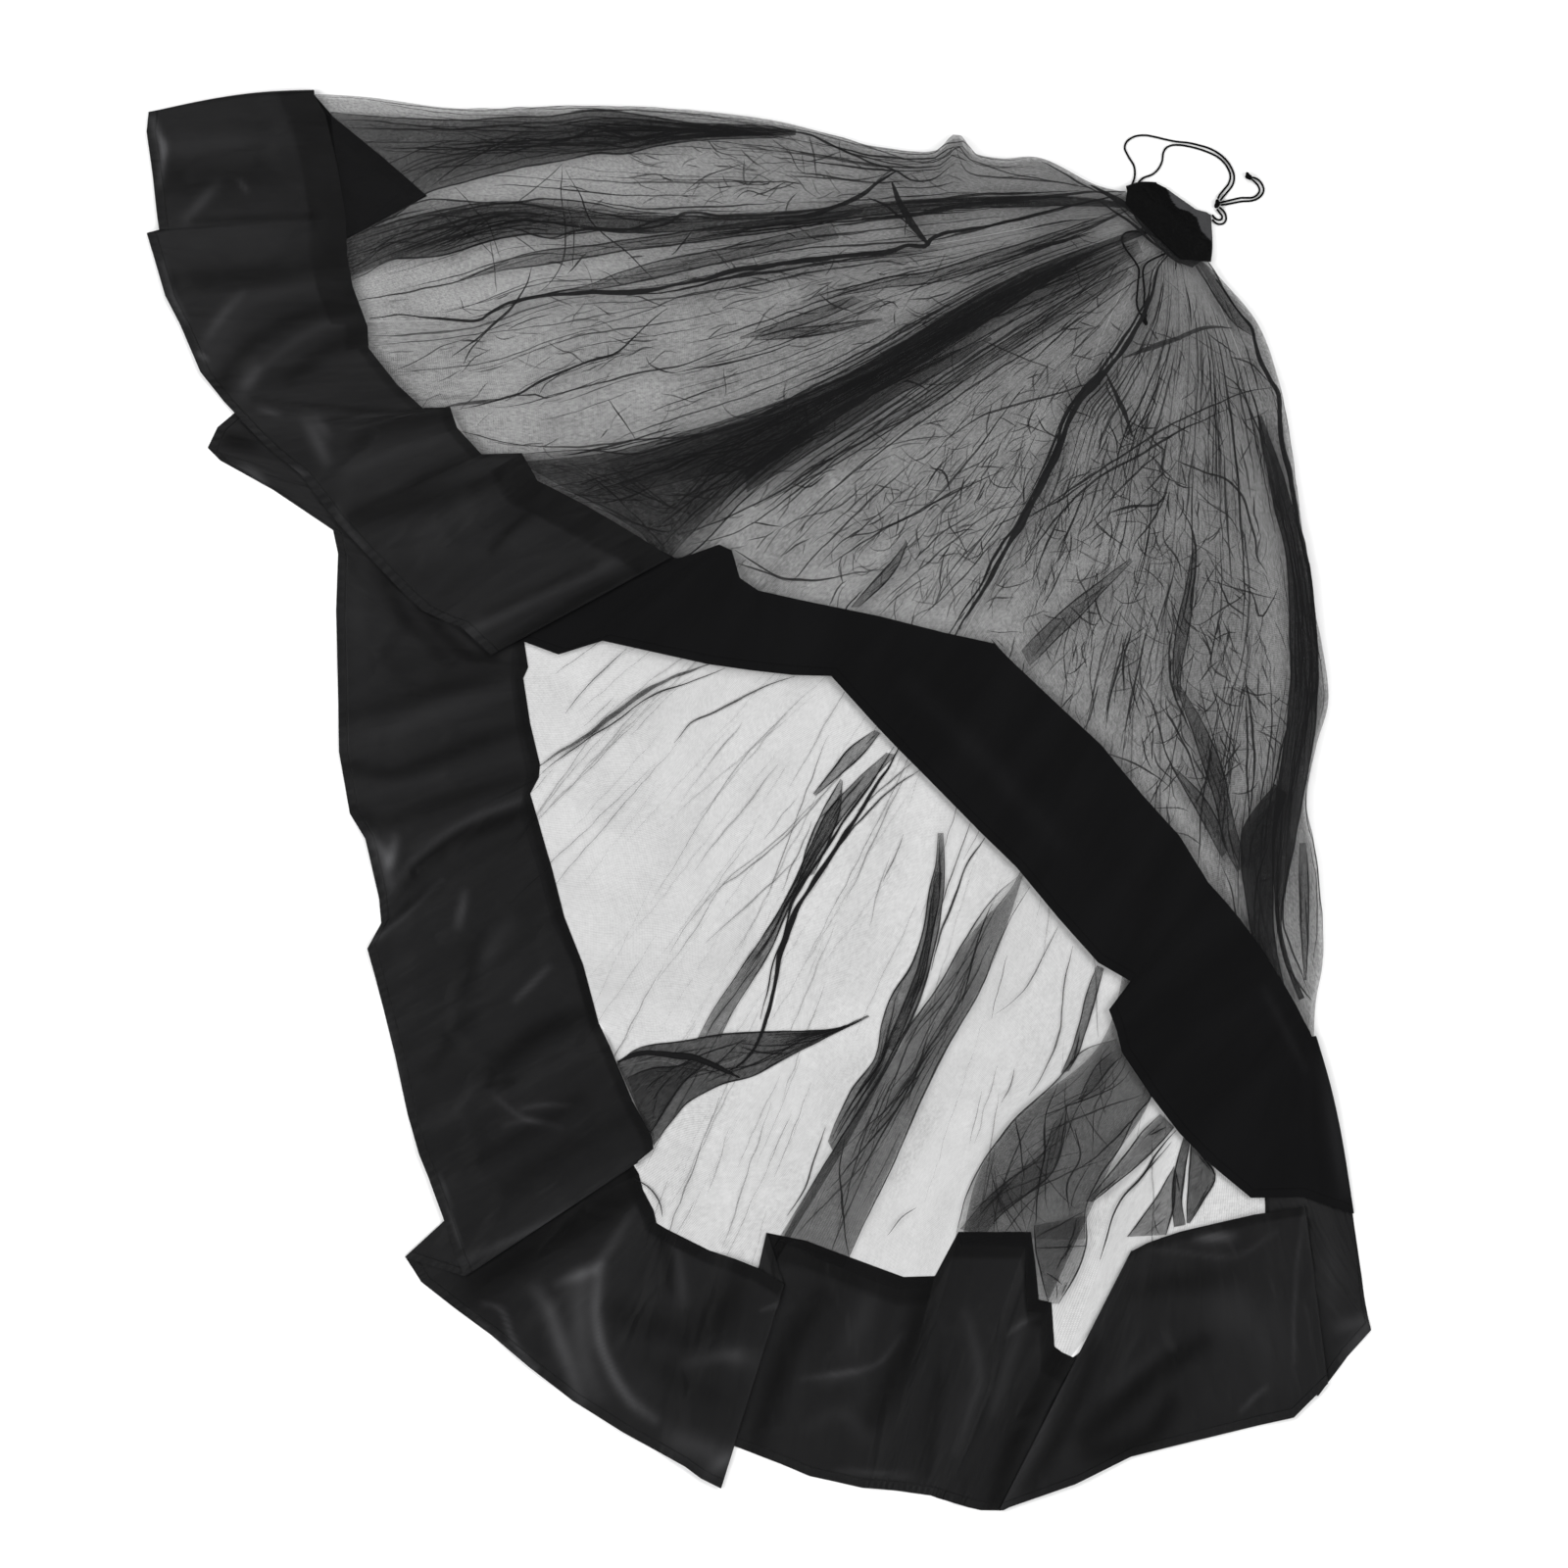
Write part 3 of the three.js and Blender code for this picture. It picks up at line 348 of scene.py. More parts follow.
# Cords: the same routes as the solids', x and y in plan units and heights in millimetres.
CORD_DIAMETER = 0.0022
CORD_FUZZ = 1.12
CORD_REST = 1.25
CORD_SIDES = 10
CORD_STEP = 0.0015
CORDS = {
    "hang_cord_outer": ([
        (1154, 190.5), (1157.6, 181), (1157.2, 170), (1151.5, 160), (1147.6, 151), (1149.7, 144.7),
        (1157.6, 139.5), (1168, 138.2), (1178, 139.8), (1189.7, 142.6), (1200, 144.6), (1213, 146),
        (1224, 148.5), (1233.5, 151.4), (1243, 156.4), (1250.4, 162.6), (1256, 170.4),
        (1259.2, 179.7), (1258, 188), (1252.9, 195.4), (1248.6, 200.4, 2), (1245.1, 204.65, 4),
    ], "knot", ["hang_knot"]),
    "hang_cord_inner": ([
        (1159.3, 190.1), (1161.5, 186.5), (1166, 182), (1175.9, 178), (1181.7, 172.8),
        (1185.7, 164.8), (1187, 155.8), (1190.2, 150.8), (1196, 148.4), (1204, 148.2),
        (1213, 149.6), (1222, 151.8), (1232, 155.2), (1241, 159.4), (1248, 165), (1252.8, 171.8),
        (1255.4, 179.4), (1253.8, 187), (1248.6, 194), (1244.6, 198.8, 2), (1242.5, 202.9, 4),
    ], "knot", []),
    "tail_cord_upper": ([
        (1245.4, 207, 4), (1250, 205.8, 2), (1256.5, 204.2), (1261.5, 203), (1266.8, 202),
        (1272.5, 202), (1278.2, 201.6), (1282.6, 199), (1285.2, 194.6), (1283.6, 189.4),
        (1280.8, 186.4, 2), (1277.3, 183.6, 4),
    ], "knot", ["end_knot"]),
    "tail_cord_lower": ([
        (1245.5, 209.4, 4), (1250, 209, 2), (1256, 207.8), (1261, 206.8), (1268, 205.6),
        (1276, 205.2), (1282.8, 203), (1287.4, 199), (1289.4, 194.2), (1287.6, 188),
        (1283.6, 183.4, 2), (1278.05, 181.3, 4),
    ], "knot", []),
    "tip_loop_inner": ([
        (1236.8, 219.6, 2), (1239.4, 222.4), (1243, 224.6), (1246.4, 223.8), (1247, 220.6),
        (1244.4, 217.4, 2), (1241.6, 213.9, 4),
    ], "knot", []),
    "tip_loop_outer": ([
        (1237.1, 224.2, 2), (1239.8, 227.2), (1244, 229), (1248.4, 228), (1251, 224.2),
        (1250.4, 219), (1248, 215, 2), (1244.1, 211.9, 4),
    ], "knot", []),
    "inside_cord_left": ([
        (1180, 243, 6.75), (1175, 240, 5.7), (1169.6, 238, 4.7), (1163.3, 237.1, 4.3),
        (1153, 236.7, 4.3), (1146.3, 239.6, 4.3), (1144.5, 244.5, 4.3), (1147.8, 253.2, 4.3),
        (1154.4, 262.4, 4.3), (1159.4, 269.6, 4.2), (1162, 276, 4.1), (1161.2, 286.5, 3.9),
        (1160.2, 299, 3.7), (1159.6, 309, 3.6), (1161.6, 317, 3.8), (1165.8, 324.2, 5),
    ], "knot", ["inside_knot"]),
    "inside_cord_right": ([
        (1191, 258, 6.75), (1184, 261.5, 6.75), (1176, 265, 5.5), (1169.4, 269.4, 4.3),
        (1166.2, 275.4, 4.2), (1166.6, 287, 3.9), (1167.6, 299, 3.7), (1167.2, 310, 3.6),
        (1168.4, 317, 3.9), (1169.3, 323.6, 5),
    ], "knot", []),
}


def cord_line(route):
    """A cord's line in metres, in even steps."""
    line = centripetal(plan([[*p, CORD_REST][:3] for p in route]), 16)
    count = max(8, int(run_length(line)[-1] / CORD_STEP))
    return along(line, np.linspace(0, 1, count))


def tube(line, radius, closed=False):
    """A round tube along a line, or round it where it is closed."""
    ahead = np.gradient(line, axis=0)
    if closed:
        ahead = np.roll(line, -1, axis=0) - np.roll(line, 1, axis=0)
    ahead /= np.linalg.norm(ahead, axis=1)[:, None]
    side = np.cross(ahead, (0, 0, 1.0))
    side /= np.maximum(1e-9, np.linalg.norm(side, axis=1))[:, None]
    up = np.cross(side, ahead)
    angle = np.linspace(0, 2 * math.pi, CORD_SIDES, endpoint=False)
    ring = side[:, None] * np.cos(angle)[None, :, None] + up[:, None] * np.sin(angle)[None, :, None]
    points = (line[:, None] + radius * ring).reshape(-1, 3)
    n, m = len(line), CORD_SIDES
    starts = np.arange(n if closed else n - 1)
    i, j = (a.ravel() for a in np.meshgrid(starts, np.arange(m), indexing="ij"))
    k, j2 = (i + 1) % n, (j + 1) % m
    faces = np.stack([i * m + j, i * m + j2, k * m + j2, k * m + j], axis=1)
    run = np.repeat(run_length(line), m)
    cloth = np.stack([run, np.tile(angle, n), np.zeros(n * m)], axis=1)
    return {"points": points, "faces": faces, "cloth": cloth}


# Knots: a strand drawn up in an overhand knot, sized as its solid.
# Columns: x, y, length and width in millimetres, angle, and the lowest point in millimetres.
KNOTS = {
    "hang_knot": (1241.8, 208.4, 12, 7.5, 1.35, 0.2),
    "end_knot": (1273.6, 180.4, 11, 8, -0.9, 0.2),
    "inside_knot": (1168.2, 328.2, 11, 6.4, -1.35, 2.3),
}
KNOT_STRAND = 1.65 * MM
knots = {}
for name, (kx, ky, length, width, angle, lowest) in KNOTS.items():
    t = np.linspace(0, 2 * math.pi, 72, endpoint=False)
    turns = np.stack([np.sin(t) + 2 * np.sin(2 * t), np.cos(t) - 2 * np.cos(2 * t),
                      -1.6 * np.sin(3 * t)], axis=1)
    turns /= np.abs(turns).max(axis=0)
    x, y, z = (turns * (np.array([length, width, width]) * MM / 2 - KNOT_STRAND)).T
    c, s = math.cos(angle), math.sin(angle)
    turned = np.stack([x * c - y * s, x * s + y * c, z], axis=1)
    turned += plan([(kx, ky, lowest)])[0] + np.array([0, 0, width * MM / 2])
    knots[name] = make_piece(name + "_tied", [tube(turned, KNOT_STRAND, closed=True)],
                             [cord_look], {"cloth": 3})
    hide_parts(name)
    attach(knots[name], "root")

for name, (route, far_end, ends_in) in CORDS.items():
    line = cord_line(route)
    part = tube(line, CORD_DIAMETER / 2 * CORD_FUZZ)
    piece = make_piece(name + "_braid", [part], [cord_look], {"cloth": 3})
    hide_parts(name)
    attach(piece, "root")

# Net: key ribs run from the gathered neck to the hem. The first value is the place along the
# neck, from the upper left fold at 0 to the right fold at 1. The last point is on the hem.
NECK_LEFT = (1164, 205)
NECK_RIGHT = (1213, 256)
NECK_SHARE = 0.03
RISE_SHARE = 0.12
KEY_RIBS = {
    "leftFold": (0, [
        (1150, 200), (1117, 192), (1059, 166), (1021, 167), (990, 160), (976, 142), (958, 158),
        (899, 157), (851, 144), (787, 128), (691, 117), (586, 114), (476, 116), (374, 103),
        (322, 100), (313, 101),
    ]),
    "tuckUpper": (0.12, [
        (1100, 203), (940, 205), (820, 216), (640, 222), (520, 207), (440, 218), (348, 243),
    ]),
    "tuckLower": (0.19, [
        (1105, 211), (940, 216), (820, 229), (640, 238), (520, 226), (440, 252), (349, 287),
    ]),
    "upperSeam": (0.3, [
        (1120, 222), (940, 252), (820, 262), (680, 290), (560, 300), (480, 325), (368, 329),
    ]),
    "pleatUpper": (0.43, [
        (1130, 246), (1060, 272), (1000, 302), (860, 385), (740, 430), (620, 463), (529, 472),
    ]),
    "pleatLower": (0.51, [
        (1133, 254), (1090, 276), (1000, 333), (860, 423), (760, 492), (705, 545), (678, 577),
    ]),
    "middleSeam": (0.62, [
        (1184, 266), (1168, 322), (1123, 386), (1098, 412), (1066, 491), (1034, 550), (970, 656),
    ]),
    "rightSeam": (0.9, [
        (1233, 290), (1270, 380), (1302, 502), (1320, 590), (1330, 687), (1318, 767), (1311, 830),
        (1303, 920), (1303, 1011),
    ]),
    "rightFold": (1, [
        (1218, 264), (1232, 275), (1247, 291), (1279, 333), (1302, 400), (1318, 500), (1333, 610),
        (1343, 655), (1350, 716), (1338, 760), (1328, 821), (1339, 880), (1346, 978), (1339, 1020),
        (1336.8, 1055), (1339.3, 1065.8),
    ]),
    "backRight": (0.9, [
        (1236, 330), (1268, 600), (1290, 900), (1293, 1238),
    ]),
    "backFlap": (0.83, [
        (1226, 330), (1238, 600), (1238, 900), (1208, 1110), (1160, 1286),
    ]),
    "darkRight": (0.72, [
        (1213, 330), (1185, 700), (1184, 1000), (1174, 1118), (1136, 1182), (1107, 1245),
        (1066, 1335),
    ]),
    "darkLeft": (0.64, [
        (1203, 330), (1158, 700), (1145, 1000), (1120, 1070), (1037, 1140), (1000, 1195),
        (981, 1265),
    ]),
    "stripRight": (0.52, [
        (1190, 330), (1112, 640), (1050, 870), (1011, 985), (967, 1068), (916, 1173), (863, 1290),
    ]),
    "stripLeft": (0.44, [
        (1181, 330), (1100, 640), (1040, 893), (990, 955), (955, 1010), (925, 1055), (860, 1160),
        (800, 1262),
    ]),
    "backSeam": (0.3, [
        (1130, 330), (1050, 520), (918, 762), (803, 950), (788, 1030), (762, 1075), (710, 1090),
        (672, 1082), (625, 1090),
    ]),
}

# Heights of the net in millimetres, as the solids have them.
FRONT = 12
FLOOR_NET = 0.5
NECK_FRONT = 8.6
NECK_BACK = 2.05
NET_STEP = 2.0
NET_STEP_AT_NECK = 1.35
LAP_UNDER = 1.7
BACK_HEM = 2.45
OPEN_HEM = 0.8
HEM_UNDER = 5
RAISED_SHORT = 1
SEAM_HALF_GAP = 0.3
HEM_PULL = 3
HEM_FROM = 0.78
HEM_TO = 0.86
# From which share of a rib it goes under the border, and the pleats' levels ease, and how far.
UNDER_FROM, UNDER_OVER = 0.94, 0.06
LEVEL_FROM, LEVEL_OVER, LEVEL_EASED = 0.9, 0.09, 0.8
NET_ROWS = 200
NET_COLUMN = 0.007

KEYS = {}
for name, (neck, route) in KEY_RIBS.items():
    start = [NECK_LEFT[k] + (NECK_RIGHT[k] - NECK_LEFT[k]) * neck for k in (0, 1)]
    line = centripetal(plan([start, *route]), 40)
    KEYS[name] = {
        "line": line, "length": run_length(line)[-1], "hem": line[-1],
        "hem_height": OPEN_HEM if name in ("backFlap", "backSeam") else None,
        "short": name in ("tuckUpper", "tuckLower", "pleatUpper", "pleatLower"),
    }

SHARES = np.linspace(0, 1, NET_ROWS)


def net_rib(first, second, w, layer, hem=None, level=0, lift=0, shift=0, hem_height=None,
            short=False):
    """The points of one rib between two key ribs."""
    a, b = KEYS[first], KEYS[second]
    straight = a["hem"] + (b["hem"] - a["hem"]) * w
    correction = (np.asarray(hem) if hem is not None else straight) - straight
    length = a["length"] + (b["length"] - a["length"]) * w
    end = 1 - RAISED_SHORT * PLAN_UNIT / length if short and layer == "front" else 1
    shares = SHARES * end
    points = along(a["line"], shares) * (1 - w) + along(b["line"], shares) * w
    points = points + correction * (shares**HEM_PULL)[:, None]
    if end == 1:
        ahead = points[-1, :2] - points[-6, :2]
        under = smooth((shares - UNDER_FROM) / UNDER_OVER)[:, None]
        points[:, :2] += ahead / np.linalg.norm(ahead) * HEM_UNDER * PLAN_UNIT * under
    opened = smooth((shares - NECK_SHARE) / RISE_SHARE)
    far, near = (FRONT, NECK_FRONT) if layer == "front" else (FLOOR_NET, NECK_BACK)
    base = near + (far - near) * opened + lift * np.sin(math.pi * shares) ** 2
    at_hem = BACK_HEM if hem_height is None else hem_height
    if layer == "front":
        at_hem = FRONT - LAP_UNDER
    base = base + (at_hem - base) * smooth((SHARES - HEM_FROM) / (HEM_TO - HEM_FROM))
    level = level * (1 - LEVEL_EASED * smooth((shares - LEVEL_FROM) / LEVEL_OVER))
    step_up = NET_STEP_AT_NECK + (NET_STEP - NET_STEP_AT_NECK) * opened
    points[:, 2] = (base + level * step_up) * MM
    if shift:
        step = np.gradient(points, axis=0)
        side = np.stack([-step[:, 1], step[:, 0]], axis=1)
        side /= np.linalg.norm(side, axis=1)[:, None]
        points[:, :2] += side * shift * MM
    return points


def span(first, second, hems, layer, level=0):
    """Ribs after the first key rib up to the second, with the hem's own points between them.
    A hem point has x, y, a lift and a height of the hem, or a dict that sets more."""
    a, b = KEYS[first]["hem"], KEYS[second]["hem"]
    stops = []
    for point in hems:
        place, extra = (point["place"], point["set"]) if isinstance(point, dict) else (point, {})
        x, y, lift, hem_height = [*place, *(0, None)[len(place) - 2:]] if len(place) < 4 else place
        stops.append({"hem": plan([(x, y)])[0], "lift": lift or 0, "hem_height": hem_height,
                      "level": level, **extra})
    route = [a, *(s["hem"] for s in stops), b]
    run = run_length(np.array(route))
    ribs = [{"points": net_rib(first, second, run[i + 1] / run[-1], layer, **stop)}
            for i, stop in enumerate(stops)]
    return [*ribs, edge(second, layer, 0, level)]


def edge(name, layer, shift=0, level=0):
    """The rib on a key rib, moved sideways by shift millimetres."""
    key = KEYS[name]
    return {"points": net_rib(name, name, 0, layer, level=level, shift=shift,
                              hem_height=key["hem_height"], short=key["short"])}


def turn(name, before, after, level_before=0, level_after=0):
    """A key rib on which the cloth turns over, to another layer or level."""
    turned = edge(name, after, 0, level_after)["points"]
    return {**edge(name, before, 0, level_before), "turned": turned}


def foot(x, y):
    """The hem point from which the net climbs onto a pleat."""
    return {"place": (x, y), "set": {"short": True}}


def top(x, y):
    """The hem point at which the net is on top of a pleat."""
    return {"place": (x, y), "set": {"short": True, "level": 2}}


def pleat(first, second, low, raised, layer):
    """A knife pleat between two key ribs: along the top, back underneath, and on below."""
    return [
        edge(first, layer, 0, 2),
        *span(first, second, raised, layer, 2)[:-1],
        turn(second, layer, layer, 2, 1),
        *span(second, first, raised[::-1], layer, 1)[:-1],
        turn(first, layer, layer, 1, 0),
        *span(first, second, low, layer, 0),
    ]


def turned_ribs(stops, angles=5):
    """Ribs of a cloth that turns over at some stops, in a half round."""
    ribs = []
    for i, stop in enumerate(stops):
        ribs.append(stop["points"])
        if "turned" not in stop:
            continue
        before = stops[i - 1].get("turned", stops[i - 1]["points"])
        step = np.gradient(stop["points"][:, :2], axis=0)
        side = np.stack([-step[:, 1], step[:, 0]], axis=1)
        side /= np.maximum(1e-9, np.linalg.norm(side, axis=1))[:, None]
        travel = (side * (stop["points"] - before)[:, :2]).sum()
        for k in range(1, angles):
            a = math.pi * k / angles
            low, high = stop["points"], stop["turned"]
            rib = low + (high - low) * k / angles
            radius = np.abs(low[:, 2] - high[:, 2]) / 2
            rib[:, :2] += side * (np.sign(travel) * radius * math.sin(a))[:, None]
            rib[:, 2] = (low[:, 2] + high[:, 2]) / 2 + (low[:, 2] - high[:, 2]) / 2 * math.cos(a)
            ribs.append(rib)
        ribs.append(stop["turned"])
    return ribs


def fill_columns(ribs, column):
    """More ribs between the given ones, so that none is further than column from the next."""
    filled = []
    for a, b in zip(ribs, ribs[1:]):
        gap = np.linalg.norm((b - a)[len(a) // 3:], axis=1).max()
        parts = max(1, math.ceil(gap / column))
        filled += [a + (b - a) * k / parts for k in range(parts)]
    return np.array([*filled, ribs[-1]])


# Hem points of the back's two pleats.
DARK_HEM = [(1050, 1333), (1047, 1266)]
STRIP_HEM = [(832, 1277)]
PANELS = {
    "net_left_panel": [
        edge("backSeam", "back", -SEAM_HALF_GAP),
        *span("backSeam", "leftFold", [
            (629, 1070, 0, OPEN_HEM), (620, 1047, 0, 1.4), (603, 1030), (590, 984), (568, 940, 2),
            (552, 880), (535, 828, 1.5), (542, 790), (532, 740, 2), (526, 693), (528, 657, 2),
            (506, 624), (462, 565, 1.5), (422, 505), (393, 445), (362, 352), (344, 296),
            (344, 250), (426, 202), (384, 170), (330, 124)], "back")[:-1],
        turn("leftFold", "back", "front"),
        *span("leftFold", "tuckUpper", [(325, 121, 1), foot(337, 172), top(344, 214)],
              "front")[:-1],
        *pleat("tuckUpper", "tuckLower", [], [], "front"),
        edge("upperSeam", "front", -SEAM_HALF_GAP),
    ],
    "net_upper_panel": [
        edge("upperSeam", "front", SEAM_HALF_GAP),
        *span("upperSeam", "pleatUpper", [
            (369, 358, 2), (397, 400), (440, 423), foot(462, 424), top(488, 468)], "front")[:-1],
        *pleat("pleatUpper", "pleatLower", [(545, 499), (592, 524), (645, 553)],
               [(564, 488), (610, 512), (658, 541)], "front"),
        *span("pleatLower", "middleSeam", [
            (700, 577), (733, 567, 2.5), (749, 598), (818, 621, 2), (896, 638)], "front")[:-1],
        edge("middleSeam", "front", -SEAM_HALF_GAP),
    ],
    "net_lower_panel": [
        edge("middleSeam", "front", SEAM_HALF_GAP),
        *span("middleSeam", "rightSeam", [
            (1010, 665, 2.5), (1041, 692), (1076, 729, 3), (1117, 766), (1159, 817, 3),
            (1197, 859), (1225, 905, 3), (1258, 942)], "front")[:-1],
        edge("rightSeam", "front", -SEAM_HALF_GAP),
    ],
    "net_right_panel": [
        edge("rightSeam", "front", SEAM_HALF_GAP),
        *span("rightSeam", "rightFold", [(1326, 1040, 1)], "front")[:-1],
        turn("rightFold", "front", "back"),
        *span("rightFold", "backRight", [
            (1322, 1088), (1308, 1122), (1296, 1166), (1289, 1206)], "back"),
        *span("backRight", "backFlap", [
            (1288, 1252, 0, OPEN_HEM), (1262, 1252, 1, OPEN_HEM), (1240, 1258, 0, OPEN_HEM),
            (1206, 1266, 2, OPEN_HEM), (1172, 1278, 0, OPEN_HEM)], "back"),
        *span("backFlap", "darkRight", [
            (1128, 1336, 2, OPEN_HEM), (1088, 1388), top(1070, 1382)], "back")[:-1],
        *pleat("darkRight", "darkLeft", DARK_HEM, DARK_HEM, "back"),
        *span("darkLeft", "stripRight", [(946, 1309, 2.5), (918, 1311), top(884, 1299)],
              "back")[:-1],
        *pleat("stripRight", "stripLeft", STRIP_HEM, STRIP_HEM, "back"),
        *span("stripLeft", "backSeam", [
            (792, 1268, 0, OPEN_HEM), (788, 1294, 0, OPEN_HEM), (756, 1289, 1, OPEN_HEM),
            (736, 1280, 0, OPEN_HEM), (724, 1270, 0, 1.8), (712, 1278, 2), (690, 1268),
            (662, 1252, 2), (652, 1214), (655, 1150, 1, OPEN_HEM)], "back")[:-1],
        edge("backSeam", "back", SEAM_HALF_GAP),
    ],
}

# How dense one layer of the net looks: on the back, and on the front at the hem and at the neck.
BACK_COVER = 0.235
FRONT_COVER = {
    "net_left_panel": 0.24, "net_upper_panel": 0.29, "net_lower_panel": 0.34,
    "net_right_panel": 0.31,
}
NECK_COVER = 0.42
NET_RIDGE = 0.9
# The back's pleats: under the front, their three layers together look like one.
BACK_PLEATS = (("darkRight", "darkLeft"), ("stripRight", "stripLeft"))
PLEAT_THINNED = 0.65


def lattice_noise(x, y, z=0.0):
    return np.array([noise.noise((a, b, z)) for a, b in zip(x.tolist(), y.tolist())])


NECK = plan([(1188, 230)])[0]


def net_relief(points):
    """Soft ridges that run from the neck, in millimetres, the same for all layers at a place."""
    dx, dy = points[:, 0] - NECK[0], points[:, 1] - NECK[1]
    angle, away = np.arctan2(dy, dx), np.hypot(dx, dy)
    ridges = lattice_noise(angle * 22, away * 3.5)
    small = lattice_noise(points[:, 0] * 32, points[:, 1] * 32, 4.0)
    return (0.65 * ridges + 0.45 * small) * smooth((away - 0.08) / 0.2)


net_grids = {name: fill_columns(turned_ribs(stops), NET_COLUMN) for name, stops in PANELS.items()}

net_look = net_material()


def panel_part(name, grid):
    """A panel's mesh from its ribs, with how dense it looks and its place on the cloth."""
    columns, rows, _ = grid.shape
    points = grid.reshape(-1, 3).copy()
    height = points[:, 2] / MM
    front = smooth((height - 5) / 3)
    share = np.tile(SHARES, columns)
    free = 1 - smooth((share - 0.78) / 0.08)
    relief = net_relief(points) * free
    relief = np.where(front > 0.5, relief * 1.6, np.abs(relief) * NET_RIDGE)
    points[:, 2] += relief * MM
    gather = 1 - smooth((share - 0.05) / 0.8)
    near_hem = FRONT_COVER[name]
    density = BACK_COVER + (near_hem + (NECK_COVER - near_hem) * gather - BACK_COVER) * front
    hidden = np.zeros((columns, rows))
    for first, second in BACK_PLEATS:
        a, b = (along(KEYS[key]["line"], SHARES)[:, :2] for key in (first, second))
        place = ((grid[:, :, :2] - a) * (b - a)).sum(axis=2) / ((b - a)**2).sum(axis=1)
        hidden = np.maximum(hidden, (place > 0) & (place < 1))
    covered = hidden.ravel() * (1 - front) * (1 - smooth((share - 0.52) / 0.12))
    density = density * (1 - PLEAT_THINNED * covered)
    across = run_length(grid[:, int(rows * 0.7)])
    length = run_length(grid[columns // 2])
    cloth = np.stack([np.repeat(across, rows), np.tile(length, columns),
                      np.full(len(points), 0.37 * len(name))], axis=1)
    crease = 0.12 + 0.88 * front
    return {"points": points, "faces": grid_faces(columns, rows), "cover": density,
            "cloth": cloth, "crease": crease}


# The folds and creases that lie on the net: its corner seams, the tucks of doubled
# cloth, and the creases. A tuck has how dense it looks and its two edges. A crease has its
# width in plan units, how dense it looks, and its line.
SEAMS = [
    (6.5, 0.97, [(1192, 260), (1181, 274), (1176, 297), (1168, 318), (1148, 353), (1128, 380),
     (1105, 405), (1090, 430), (1083, 450), (1075, 470), (1060, 500), (1045, 530), (1025, 562),
     (1005, 600), (985, 630), (970, 655)]),
    (3.5, 0.9, [(1188, 262), (1176, 276), (1172, 299), (1162, 320), (1142, 352), (1121, 380),
     (1099, 405), (1084, 432), (1078, 455), (1069, 475), (1055, 502), (1040, 530), (1018, 562),
     (999, 600), (979, 630), (965, 652)]),
    (4.6, 0.97, [(378, 326), (410, 322), (440, 325), (490, 327), (500, 320), (515, 312), (530, 308),
     (560, 302), (600, 300), (650, 299), (690, 292), (720, 286), (750, 277), (790, 272), (830, 266),
     (870, 262), (910, 257), (925, 252), (945, 252), (950, 244), (1000, 233), (1050, 222),
     (1090, 212), (1130, 203)]),
    (3.0, 0.85, [(640, 303), (690, 298), (730, 288), (770, 281), (810, 275), (850, 268), (900, 262),
     (940, 256)]),
    (5.0, 0.97, [(918, 762), (905, 785), (890, 808), (870, 840), (850, 870), (830, 900), (812, 930),
     (803, 955), (795, 980), (790, 1010), (783, 1035), (777, 1055), (762, 1080), (740, 1095)]),
    (2.6, 0.9, [(912, 762), (898, 785), (880, 812), (860, 840), (842, 868), (822, 898), (806, 928),
     (800, 955), (788, 985), (782, 1015), (776, 1040)]),
    (7.0, 0.97, [(630, 1084), (650, 1075), (680, 1076), (710, 1080), (740, 1092), (755, 1099)]),
    (5.0, 0.95, [(1240, 285), (1250, 300), (1262, 318), (1275, 333), (1280, 350), (1285, 370),
     (1295, 388), (1302, 400), (1305, 430), (1308, 455), (1316, 490), (1325, 540), (1334, 580),
     (1338, 620), (1341, 660)]),
]
